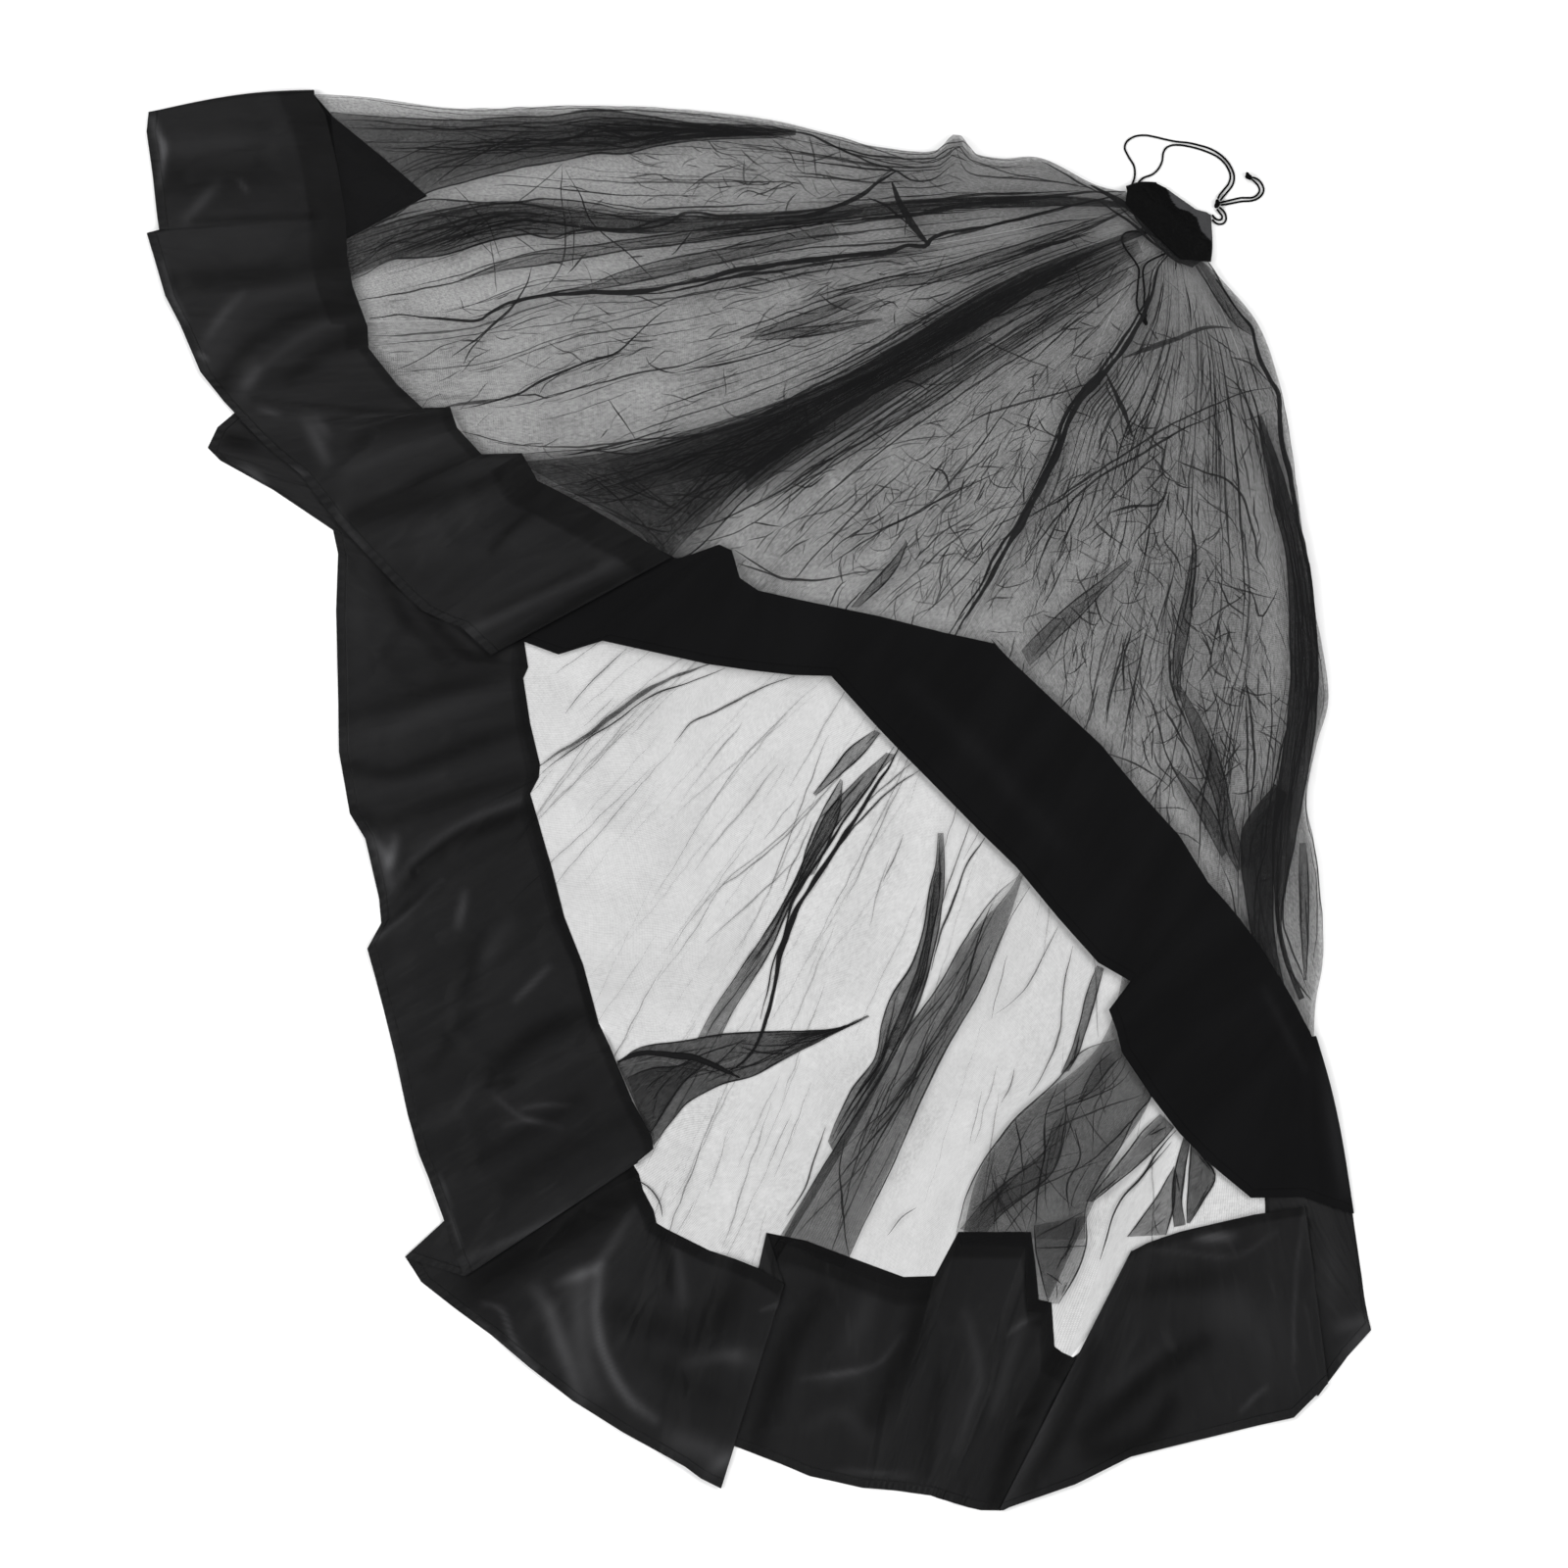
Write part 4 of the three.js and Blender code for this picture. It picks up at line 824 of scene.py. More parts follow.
TUCKS = [
    (0.27, [(352, 246), (380, 228), (415, 212), (440, 205), (480, 207), (520, 209), (550, 205),
     (600, 208), (640, 216), (690, 220)], [(352, 290), (375, 280), (400, 266), (450, 262),
     (500, 247), (540, 240), (580, 240), (620, 236), (660, 234), (700, 226)]),
    (0.35, [(400, 262), (440, 250), (490, 236), (530, 226), (560, 228), (590, 228)], [(400, 266),
     (450, 262), (500, 247), (540, 240), (570, 245), (592, 236)]),
    (0.26, [(532, 464), (600, 460), (650, 464), (700, 449), (760, 434), (820, 402)], [(552, 499),
     (606, 526), (656, 555), (692, 571), (768, 502), (830, 450)]),
    (0.1, [(1040, 893), (1015, 915), (990, 950), (955, 1010), (925, 1052), (905, 1090), (862, 1155),
     (820, 1225), (800, 1262)], [(1051, 905), (1035, 930), (1020, 960), (1000, 1010), (965, 1070),
     (945, 1110), (910, 1190), (875, 1262), (863, 1290)]),
    (0.22, [(1139, 1060), (1104, 1073), (1079, 1102), (1037, 1140), (1005, 1182), (986, 1220),
     (975, 1264)], [(1146, 1076), (1174, 1118), (1158, 1138), (1143, 1170), (1122, 1200),
     (1108, 1230), (1106, 1264)]),
    (0.52, [(338, 115), (370, 119), (400, 121), (440, 123), (480, 124), (520, 121), (560, 120),
     (610, 114), (650, 118), (700, 126), (740, 128), (780, 130), (812, 134)], [(352, 243),
     (400, 224), (436, 199), (480, 186), (530, 173), (580, 164), (610, 158), (640, 158), (665, 152),
     (690, 147), (720, 144), (760, 143), (790, 142), (812, 139)]),
    (0.3, [(460, 150), (500, 140), (560, 131), (620, 122), (680, 126), (740, 131), (812, 135)],
     [(460, 172), (520, 168), (580, 158), (640, 152), (690, 144), (740, 140), (812, 139)], 0.5),
    (0.36, [(470, 286), (500, 274), (530, 262), (560, 256), (600, 252), (640, 246), (700, 238),
     (760, 229), (820, 222), (880, 214)], [(470, 288), (510, 277), (550, 272), (590, 265),
     (630, 258), (680, 252), (740, 244), (800, 236), (850, 226), (880, 218)]),
    (0.36, [(560, 300), (600, 292), (630, 280), (670, 268), (700, 262), (740, 254), (790, 243),
     (850, 230)], [(560, 302), (610, 296), (650, 289), (700, 277), (740, 268), (790, 257),
     (850, 245), (856, 244)]),
    (0.28, [(850, 302), (900, 285), (950, 278), (1000, 262), (1050, 247), (1100, 230), (1150, 212)],
     [(850, 304), (900, 295), (950, 290), (1000, 277), (1050, 260), (1100, 240), (1150, 216)]),
    (0.34, [(755, 345), (790, 332), (830, 317), (870, 303)], [(755, 347), (800, 338), (840, 325),
     (880, 308)]),
    (0.34, [(770, 346), (800, 338), (850, 332), (900, 326)], [(770, 348), (810, 346), (850, 340),
     (900, 328)]),
    (0.27, [(620, 470), (680, 455), (760, 432), (830, 395), (880, 372), (950, 335), (1020, 300),
     (1100, 270), (1160, 246)], [(640, 505), (700, 490), (770, 475), (840, 432), (900, 398),
     (960, 368), (1030, 330), (1100, 295), (1165, 258)]),
    (0.28, [(768, 517), (850, 455), (920, 418), (1000, 365), (1080, 315), (1150, 275)], [(770, 518),
     (860, 470), (930, 425), (1010, 372), (1090, 322), (1155, 280)]),
    (0.8, [(1282, 425), (1290, 470), (1300, 520), (1310, 560), (1314, 600), (1315, 650),
     (1316, 700), (1311, 750), (1303, 800), (1298, 850), (1299, 900), (1303, 950), (1311, 985),
     (1325, 1020)], [(1286, 425), (1303, 470), (1318, 520), (1330, 560), (1338, 600), (1342, 650),
     (1343, 700), (1341, 740), (1333, 790), (1325, 830), (1318, 870), (1310, 910), (1307, 950),
     (1316, 985), (1330, 1018)]),
    (0.5, [(1325, 560), (1334, 620), (1338, 680), (1338, 720)], [(1335, 575), (1341, 630),
     (1344, 690), (1341, 730)]),
    (0.8, [(1300, 800), (1280, 825), (1268, 845), (1266, 880), (1271, 920), (1278, 960),
     (1288, 1000)], [(1312, 810), (1302, 840), (1299, 870), (1298, 920), (1300, 960), (1308, 1000),
     (1314, 1020)]),
    (0.5, [(1198, 700), (1212, 735), (1225, 775), (1240, 820), (1248, 860), (1262, 890)],
     [(1204, 700), (1222, 730), (1237, 760), (1248, 790), (1256, 830), (1270, 880)]),
    (0.5, [(1193, 780), (1212, 812), (1232, 848), (1246, 875)], [(1200, 785), (1226, 812),
     (1243, 840), (1252, 868)]),
    (0.42, [(1153, 570), (1120, 595), (1090, 618), (1060, 645), (1042, 664)], [(1155, 573),
     (1130, 598), (1105, 626), (1080, 650), (1050, 680)]),
    (0.5, [(1216, 560), (1209, 600), (1200, 640), (1196, 680), (1198, 715)], [(1219, 560),
     (1217, 600), (1212, 645), (1205, 680), (1203, 715)]),
    (0.52, [(1325, 860), (1325, 900), (1327, 950), (1330, 1000)], [(1331, 860), (1334, 900),
     (1334, 950), (1332, 1000)]),
    (0.44, [(905, 768), (870, 800), (845, 828), (825, 868), (808, 905), (790, 938), (765, 975),
     (745, 1005), (722, 1040), (712, 1060)], [(914, 770), (884, 803), (857, 838), (837, 868),
     (819, 898), (803, 930), (788, 966), (768, 1000), (748, 1032), (735, 1058)]),
    (0.35, [(858, 795), (838, 830), (822, 870), (815, 900)], [(860, 797), (856, 830), (845, 860),
     (830, 892)]),
    (0.4, [(893, 745), (865, 765), (850, 785), (830, 810)], [(898, 748), (880, 770), (857, 791),
     (832, 812)]),
    (0.5, [(957, 850), (955, 880), (948, 910), (942, 950), (930, 985), (910, 1015), (900, 1045),
     (893, 1080), (870, 1110), (855, 1140), (845, 1165)], [(962, 850), (964, 885), (960, 930),
     (955, 960), (945, 1000), (930, 1040), (915, 1065), (900, 1095), (885, 1120), (865, 1150),
     (850, 1175)]),
    (0.4, [(957, 890), (950, 920), (946, 950), (936, 990), (920, 1030), (903, 1070)], [(961, 890),
     (957, 925), (951, 955), (943, 995), (928, 1035), (912, 1072)]),
    (0.62, [(630, 1086), (650, 1070), (700, 1062), (740, 1055), (780, 1053), (820, 1052),
     (855, 1049), (885, 1036)], [(667, 1169), (682, 1148), (702, 1125), (735, 1107), (770, 1097),
     (800, 1080), (840, 1060), (887, 1037)]),
    (0.4, [(640, 1100), (665, 1090), (690, 1088), (715, 1080)], [(662, 1160), (680, 1130),
     (697, 1105), (722, 1084)]),
    (0.5, [(1119, 985), (1110, 1010), (1100, 1050), (1090, 1080), (1083, 1095)], [(1126, 988),
     (1120, 1010), (1110, 1045), (1100, 1075), (1090, 1093)]),
    (0.5, [(1184, 1137), (1165, 1155), (1150, 1175), (1130, 1200), (1108, 1225)], [(1198, 1150),
     (1185, 1165), (1165, 1185), (1140, 1205), (1115, 1226)]),
    (0.35, [(1088, 1122), (1074, 1150), (1062, 1180), (1030, 1203), (1005, 1225), (980, 1254)],
     [(1090, 1122), (1086, 1160), (1074, 1195), (1045, 1220), (1020, 1240), (1004, 1260)], 0.3),
    (0.3, [(1142, 1068), (1120, 1085), (1108, 1105), (1100, 1122)], [(1150, 1074), (1135, 1086),
     (1118, 1108), (1101, 1124)], 0.3),
    (0.6, [(1208, 1160), (1200, 1190), (1196, 1220), (1198, 1252)], [(1214, 1165), (1209, 1195),
     (1206, 1225), (1209, 1250)]),
    (0.62, [(1215, 1165), (1214, 1190), (1212, 1220), (1211, 1248)], [(1220, 1172), (1240, 1200),
     (1228, 1224), (1214, 1248)]),
    (0.45, [(1198, 1190), (1178, 1225), (1150, 1262)], [(1200, 1200), (1197, 1232), (1190, 1260)]),
    (0.55, [(1010, 345), (960, 365), (910, 390), (860, 415), (815, 442), (760, 480)], [(1012, 347),
     (965, 378), (915, 405), (868, 436), (825, 464), (762, 503)]),
    (0.5, [(868, 620), (890, 595), (908, 575), (925, 553)], [(876, 620), (900, 598), (916, 578),
     (926, 555)]),
    (0.8, [(1150, 204), (1160, 226), (1180, 249), (1198, 266), (1216, 274)], [(1160, 200),
     (1172, 222), (1192, 240), (1212, 256), (1232, 262)]),
    (0.45, [(1228, 262), (1240, 280), (1250, 300), (1265, 322), (1280, 342)], [(1216, 268),
     (1230, 288), (1242, 308), (1258, 330), (1278, 345)]),
    (0.35, [(1055, 1250), (1057, 1275), (1062, 1300), (1070, 1330)], [(1108, 1240), (1108, 1268),
     (1100, 1295), (1080, 1330)]),
]
CREASES = [
    (2.2, 0.8, [(700, 546), (742, 528), (792, 504), (842, 472), (888, 447), (948, 415),
     (998, 376)]),
    (1.6, 0.77, [(700, 557), (753, 543), (806, 507), (856, 468), (898, 440), (955, 411)]),
    (1.8, 0.77, [(835, 578), (863, 550), (891, 543), (941, 521), (969, 504), (998, 490)]),
    (1.4, 0.7, [(792, 543), (820, 528), (849, 521), (877, 500), (898, 479)]),
    (1.3, 0.64, [(877, 461), (913, 454), (948, 447), (980, 447)]),
    (2.0, 0.8, [(948, 479), (962, 482), (969, 505)]),
    (2.4, 0.8, [(750, 562), (771, 575), (799, 590), (835, 592), (870, 585)]),
    (1.6, 0.77, [(753, 575), (782, 585), (806, 594)]),
    (1.6, 0.7, [(927, 578), (955, 550), (984, 529), (1000, 518)]),
    (1.4, 0.7, [(959, 596), (980, 571), (1000, 550)]),
    (2.0, 0.77, [(1112, 535), (1152, 489), (1187, 460)]),
    (1.8, 0.77, [(840, 581), (892, 547), (956, 512), (1031, 477)]),
    (1.5, 0.7, [(898, 616), (944, 576), (1002, 529), (1042, 506)]),
    (1.6, 0.74, [(938, 633), (979, 593), (1013, 552)]),
    (1.3, 0.7, [(898, 628), (921, 605), (950, 587)]),
    (1.4, 0.7, [(1088, 708), (1086, 662), (1094, 628)]),
    (1.3, 0.7, [(1117, 732), (1112, 691), (1117, 651)]),
    (2.0, 0.8, [(1146, 708), (1146, 674), (1155, 639)]),
    (1.6, 0.77, [(1164, 732), (1152, 691), (1150, 670)]),
    (1.8, 0.77, [(1181, 714), (1210, 766), (1233, 830)]),
    (1.6, 0.74, [(1268, 789), (1245, 732), (1233, 691)]),
    (2.4, 0.83, [(1273, 841), (1279, 784), (1276, 732), (1268, 680)]),
    (2.0, 0.8, [(1291, 836), (1302, 784), (1314, 737)]),
    (1.8, 0.77, [(365, 308), (400, 302), (430, 296), (460, 290), (500, 275), (520, 268)]),
    (2.6, 0.83, [(462, 365), (480, 352), (500, 335), (520, 318), (530, 305), (540, 285),
     (543, 272)]),
    (1.3, 0.64, [(402, 380), (425, 370), (450, 355), (480, 345)]),
    (1.4, 0.77, [(575, 170), (573, 200), (578, 235), (575, 265), (565, 285), (550, 300)]),
    (1.1, 0.64, [(580, 205), (586, 240), (585, 275)]),
    (1.6, 0.83, [(578, 175), (592, 200), (605, 230), (640, 258), (672, 292)]),
    (1.4, 0.77, [(465, 192), (485, 215), (500, 232), (510, 262)]),
    (1.3, 0.7, [(440, 210), (470, 235), (490, 248), (505, 262)]),
    (1.1, 0.64, [(500, 245), (505, 275), (507, 300)]),
    (1.3, 0.64, [(520, 238), (535, 248), (550, 260)]),
    (2.7, 0.87, [(470, 418), (500, 411), (530, 402), (560, 386), (600, 370), (630, 361), (648, 345),
     (665, 328), (682, 316)]),
    (1.8, 0.77, [(540, 412), (560, 405), (600, 395), (650, 382), (690, 375), (730, 361),
     (760, 349)]),
    (3.2, 0.64, [(455, 416), (480, 412), (512, 408)]),
    (1.4, 0.83, [(621, 408), (635, 428), (650, 451)]),
    (1.8, 0.7, [(500, 452), (550, 457), (600, 456), (650, 450), (700, 447), (750, 435), (800, 420),
     (850, 398)]),
    (1.3, 0.7, [(468, 440), (500, 448), (540, 457)]),
    (1.3, 0.64, [(575, 340), (620, 330), (660, 318), (700, 302), (740, 296), (790, 284)]),
    (1.1, 0.58, [(470, 345), (520, 338), (580, 330), (640, 318), (700, 310)]),
    (2.4, 0.77, [(500, 232), (530, 236), (560, 244), (590, 236), (640, 236), (690, 222), (740, 225),
     (820, 223)]),
    (3.2, 0.79, [(600, 232), (640, 236), (680, 230), (700, 219), (740, 222), (800, 219), (850, 212),
     (880, 203)]),
    (1.9, 0.77, [(600, 205), (650, 214), (690, 214), (740, 212), (800, 208)]),
    (1.3, 0.7, [(700, 197), (715, 185), (735, 176), (760, 168)]),
    (1.3, 0.64, [(520, 215), (545, 195), (565, 178), (575, 168)]),
    (1.8, 0.77, [(760, 128), (800, 136), (825, 138), (860, 155), (900, 166), (940, 173),
     (960, 170)]),
    (2.4, 0.83, [(825, 138), (850, 150), (890, 168), (915, 176), (930, 185), (950, 184),
     (975, 168)]),
    (1.4, 0.64, [(790, 128), (850, 142), (900, 156), (945, 168), (965, 160), (975, 148)]),
    (5.0, 0.88, [(915, 176), (895, 188), (880, 200), (850, 213), (830, 221), (790, 224)]),
    (1.6, 0.77, [(910, 172), (900, 180), (870, 186), (840, 180), (800, 176)]),
    (8.1, 0.88, [(910, 188), (918, 210), (928, 226), (938, 240), (948, 252)]),
    (2.4, 0.87, [(885, 203), (905, 212), (920, 224), (935, 238)]),
    (4.5, 0.79, [(850, 232), (920, 222), (1000, 209), (1060, 203), (1110, 197), (1148, 196)]),
    (2.4, 0.77, [(880, 213), (950, 206), (1000, 200), (1060, 198), (1100, 196)]),
    (3.2, 0.79, [(948, 248), (1000, 234), (1060, 220), (1110, 207), (1145, 199)]),
    (1.6, 0.7, [(975, 152), (985, 175), (1010, 182), (1060, 185), (1100, 190)]),
    (1.6, 0.7, [(990, 165), (1030, 178), (1070, 186), (1120, 194)]),
    (1.9, 0.77, [(1062, 166), (1085, 178), (1105, 190), (1130, 200)]),
    (5.4, 0.88, [(1112, 190), (1128, 199), (1145, 208), (1160, 222)]),
    (3.2, 0.88, [(1120, 205), (1150, 226), (1180, 252), (1205, 272)]),
    (2.4, 0.77, [(1190, 255), (1100, 300), (1000, 360), (900, 430), (820, 490), (780, 520)]),
    (1.9, 0.77, [(1195, 262), (1110, 320), (1000, 390), (900, 460), (800, 540)]),
    (2.1, 0.77, [(1130, 383), (1100, 396), (1050, 410), (1000, 426), (960, 452)]),
    (1.4, 0.7, [(1000, 348), (1040, 365), (1080, 380)]),
    (4.5, 0.84, [(1128, 383), (1138, 402), (1148, 425), (1155, 447)]),
    (1.8, 0.77, [(1152, 430), (1165, 438), (1180, 438)]),
    (5.0, 0.67, [(1145, 366), (1170, 357), (1200, 346), (1230, 335), (1256, 336)]),
    (2.1, 0.79, [(1300, 395), (1270, 401), (1240, 413), (1200, 431), (1150, 462), (1110, 488),
     (1070, 515), (1048, 528)]),
    (2.6, 0.79, [(1252, 418), (1205, 440), (1160, 466), (1125, 485), (1095, 510), (1065, 545),
     (1040, 580)]),
    (1.9, 0.77, [(1050, 527), (1090, 505), (1112, 490)]),
    (2.2, 0.77, [(1154, 566), (1160, 551), (1170, 540), (1180, 524), (1189, 505), (1192, 490)]),
    (3.2, 0.79, [(1130, 525), (1150, 518), (1180, 515), (1190, 503)]),
    (1.6, 0.7, [(1118, 538), (1134, 549), (1150, 561)]),
    (1.9, 0.77, [(1192, 445), (1187, 465), (1187, 485), (1210, 497)]),
    (2.6, 0.77, [(1198, 470), (1230, 483), (1250, 490), (1265, 505), (1273, 525), (1280, 552),
     (1282, 570), (1292, 586)]),
    (1.4, 0.7, [(1218, 500), (1235, 515), (1255, 530), (1265, 546)]),
    (1.8, 0.74, [(1192, 505), (1188, 530), (1186, 551), (1200, 570), (1206, 592)]),
    (2.1, 0.77, [(1198, 510), (1212, 535), (1219, 556), (1218, 590), (1213, 620)]),
    (2.4, 0.79, [(1196, 640), (1192, 680), (1200, 715), (1215, 748)]),
    (1.6, 0.7, [(1212, 636), (1225, 638), (1245, 622), (1265, 610), (1272, 600)]),
    (1.6, 0.7, [(1225, 590), (1250, 598), (1275, 605), (1305, 612)]),
    (1.9, 0.77, [(1265, 590), (1278, 610), (1285, 630), (1298, 612), (1302, 600)]),
    (1.8, 0.74, [(1240, 378), (1262, 395), (1275, 420), (1290, 455), (1298, 470)]),
    (2.1, 0.74, [(1255, 365), (1275, 372), (1295, 392)]),
    (2.1, 0.79, [(1282, 420), (1286, 450), (1290, 480)]),
    (1.9, 0.77, [(1155, 690), (1170, 708), (1180, 735), (1190, 770), (1205, 798), (1222, 820)]),
    (1.8, 0.77, [(1195, 776), (1180, 805), (1172, 822)]),
    (1.6, 0.77, [(1128, 768), (1150, 776), (1175, 790), (1195, 804)]),
    (1.4, 0.7, [(1175, 825), (1200, 824), (1212, 828)]),
    (1.8, 0.74, [(1120, 700), (1112, 730), (1105, 745)]),
    (1.4, 0.7, [(1222, 690), (1228, 720), (1235, 745), (1247, 790)]),
    (2.1, 0.77, [(1318, 855), (1311, 900), (1308, 940), (1320, 975), (1333, 1010)]),
    (1.3, 0.64, [(1335, 860), (1342, 900), (1343, 950), (1338, 985)]),
    (1.6, 0.77, [(1312, 985), (1325, 1005), (1337, 1020)]),
    (2.1, 0.83, [(1270, 700), (1272, 750), (1272, 800), (1275, 845)]),
    (1.8, 0.77, [(1295, 690), (1297, 740), (1290, 790), (1282, 840)]),
    (1.6, 0.77, [(1245, 880), (1255, 905), (1262, 940), (1275, 975)]),
    (4.5, 0.64, [(723, 678), (690, 690), (660, 705), (630, 727), (600, 750), (575, 765),
     (551, 782)]),
    (1.6, 0.83, [(740, 682), (700, 697), (665, 710), (630, 735), (595, 757), (553, 788)]),
    (1.3, 0.64, [(640, 662), (615, 685), (595, 705), (577, 728)]),
    (1.9, 0.7, [(811, 690), (790, 697), (760, 710), (735, 724), (705, 738), (688, 758)]),
    (1.0, 0.35, [(841, 692), (800, 730), (760, 772), (720, 830), (690, 880), (663, 922)]),
    (1.3, 0.4, [(880, 765), (850, 800), (810, 845), (760, 888), (730, 910), (700, 945),
     (680, 980)]),
    (1.1, 0.38, [(860, 790), (820, 830), (780, 868), (740, 900), (705, 955), (670, 1000)]),
    (1.8, 0.77, [(940, 785), (910, 805), (880, 835), (850, 870), (832, 893)]),
    (1.3, 0.64, [(932, 778), (905, 800), (875, 828)]),
    (2.1, 0.77, [(1005, 855), (985, 885), (975, 915), (960, 950), (950, 990)]),
    (1.4, 0.64, [(990, 838), (980, 870), (965, 910), (955, 945)]),
    (1.9, 0.77, [(862, 1160), (857, 1190), (860, 1235), (866, 1282)]),
    (1.6, 0.77, [(803, 1240), (820, 1215), (832, 1180), (842, 1150)]),
    (1.9, 0.77, [(645, 1201), (660, 1210), (672, 1225), (676, 1242)]),
    (1.3, 0.64, [(905, 1260), (920, 1242), (935, 1232)]),
    (1.3, 0.58, [(1015, 1035), (1045, 1010), (1065, 975), (1080, 945)]),
    (1.6, 0.64, [(1050, 1118), (1070, 1085), (1082, 1050), (1085, 1010), (1095, 965)]),
    (1.3, 0.58, [(1022, 1125), (1032, 1105), (1035, 1090)]),
    (1.8, 0.83, [(1036, 1140), (1041, 1170), (1045, 1202)]),
    (1.9, 0.83, [(1080, 1105), (1066, 1140), (1066, 1175), (1060, 1205), (1056, 1250)]),
    (1.9, 0.79, [(1096, 1150), (1102, 1180), (1088, 1210), (1092, 1235)]),
    (1.8, 0.79, [(1174, 1118), (1150, 1148), (1120, 1178), (1095, 1195)]),
    (2.2, 0.84, [(1200, 1153), (1185, 1170), (1165, 1200), (1140, 1230), (1130, 1258),
     (1122, 1285)]),
    (1.4, 0.77, [(1195, 1165), (1170, 1195), (1150, 1215)]),
    (1.4, 0.77, [(1057, 1273), (1080, 1272), (1109, 1271)]),
    (1.6, 0.77, [(1056, 1262), (1080, 1250), (1106, 1235)]),
]

# Above this height in millimetres the net is its front half.
FRONT_FROM = 6
# The place that the creases run from, in plan units.
GATHER_PLACE = (1185, 225)
CREASE_STEP = 5
CREASE_LIFT = 0.35
CREASE_RIDGE = 0.55
CREASE_GAIN = 1.08
TUCK_EDGE = 0.86
TUCK_CREASE_PLACES = 22
FRONT_CREASES = 1500
FLOW_CREASES = 480
BACK_CREASES = 150

net_parts = {name: [panel_part(name, grid)] for name, grid in net_grids.items()}
panels = [parts[0] for parts in net_parts.values()]
surface_points = np.vstack([part["points"] for part in panels])
starts = np.cumsum([0] + [len(part["points"]) for part in panels])
surface_faces = np.vstack([part["faces"] + start for part, start in zip(panels, starts)])
face_panel = np.repeat(np.arange(len(panels)), [len(part["faces"]) for part in panels])
net_surface = BVHTree.FromPolygons(surface_points.tolist(), surface_faces.tolist())


def net_top(x, y):
    """Height of the topmost net at a place and the panel that it is on, or None."""
    place, _, index, _ = net_surface.ray_cast(Vector((x, y, 0.1)), Vector((0, 0, -1)))
    return None if index is None else (place.z, int(face_panel[index]))


def in_front(hit):
    return hit is not None and hit[0] > FRONT_FROM * MM


def from_gather(x, y):
    """The angle of the line from the gathered top to a plan point."""
    return math.atan2(y - GATHER_PLACE[1], x - GATHER_PLACE[0])


def widest(values, pick):
    """Each value and its neighbours both ways, brought to one by pick."""
    padded = np.pad(values, 1, mode="edge")
    n, m = values.shape
    return pick([padded[i:i + n, j:j + m] for i in range(3) for j in range(3)], axis=0)


def lay_on_net(rows):
    """Heights for rows of plan points, on top of the net, and the panel under the first point."""
    hits = [net_top(x, y) for x, y in rows.reshape(-1, rows.shape[-1])[:, :2]]
    panel = next((hit[1] for hit in hits if hit is not None), None)
    if panel is None:
        return None
    heights = np.array([-1.0 if hit is None else hit[0] for hit in hits]).reshape(rows.shape[:2])
    for _ in range(4):
        heights = np.where(heights < 0, widest(heights, np.max), heights)
    heights = np.where(heights < 0, heights.max(), heights)
    rows = rows.copy()
    rows[:, :, 2] = widest(widest(heights, np.max), np.mean)
    return rows, panel


def lay_fold(rows, cover, ridge, seed):
    """A fold of the net lying on it. rows holds, for each place along it, points across it."""
    laid = lay_on_net(rows)
    if laid is None:
        return
    points, panel = laid
    across = np.linspace(-1, 1, points.shape[1])
    ends = np.sin(math.pi * np.linspace(0.03, 0.97, len(points)))[:, None] ** 0.5
    crown = ridge * (1 - across**2)[None, :] * ends
    covers = np.broadcast_to(np.reshape(cover, (-1, 1)), points.shape[:2]).ravel()
    points[:, :, 2] += (CREASE_LIFT + crown) * MM
    flat = points.reshape(-1, 3)
    cloth = np.stack([flat[:, 0] * 0.8 - flat[:, 1] * 0.6, flat[:, 0] * 0.6 + flat[:, 1] * 0.8,
                      np.full(len(flat), seed * 0.013)], axis=1)
    name = list(net_parts)[panel]
    net_parts[name].append({"points": flat, "faces": grid_faces(*points.shape[:2]), "cover": covers,
                            "cloth": cloth, "crease": np.full(len(flat), 0.25)})


def lay_crease(line, width, cover, seed, wobble=1.2):
    """A narrow fold along a plan line in metres, tapered to its ends."""
    count = max(4, int(run_length(line)[-1] / (CREASE_STEP * PLAN_UNIT)))
    line = along(line, np.linspace(0, 1, count))
    step = np.gradient(line[:, :2], axis=0)
    side = np.stack([-step[:, 1], step[:, 0]], axis=1)
    side /= np.maximum(1e-9, np.linalg.norm(side, axis=1))[:, None]
    run = run_length(line)
    sway = np.array([noise.noise((s * 45, seed * 1.7, 0.3)) for s in run])
    swell = np.array([noise.noise((s * 30, seed * 2.3, 5.1)) for s in run])
    share = np.linspace(0, 1, count)
    taper = np.sin(math.pi * np.clip(share, 0.02, 0.98)) ** 0.55
    half = 0.5 * width * PLAN_UNIT * taper * (1 + 0.5 * swell)
    middle = line[:, :2] + side * (sway * wobble * PLAN_UNIT)[:, None]
    rows = np.zeros((count, 3, 3))
    for k, across in enumerate((-1, 0, 1)):
        rows[:, k, :2] = middle + side * (half * across)[:, None]
    lay_fold(rows, cover, CREASE_RIDGE, seed)


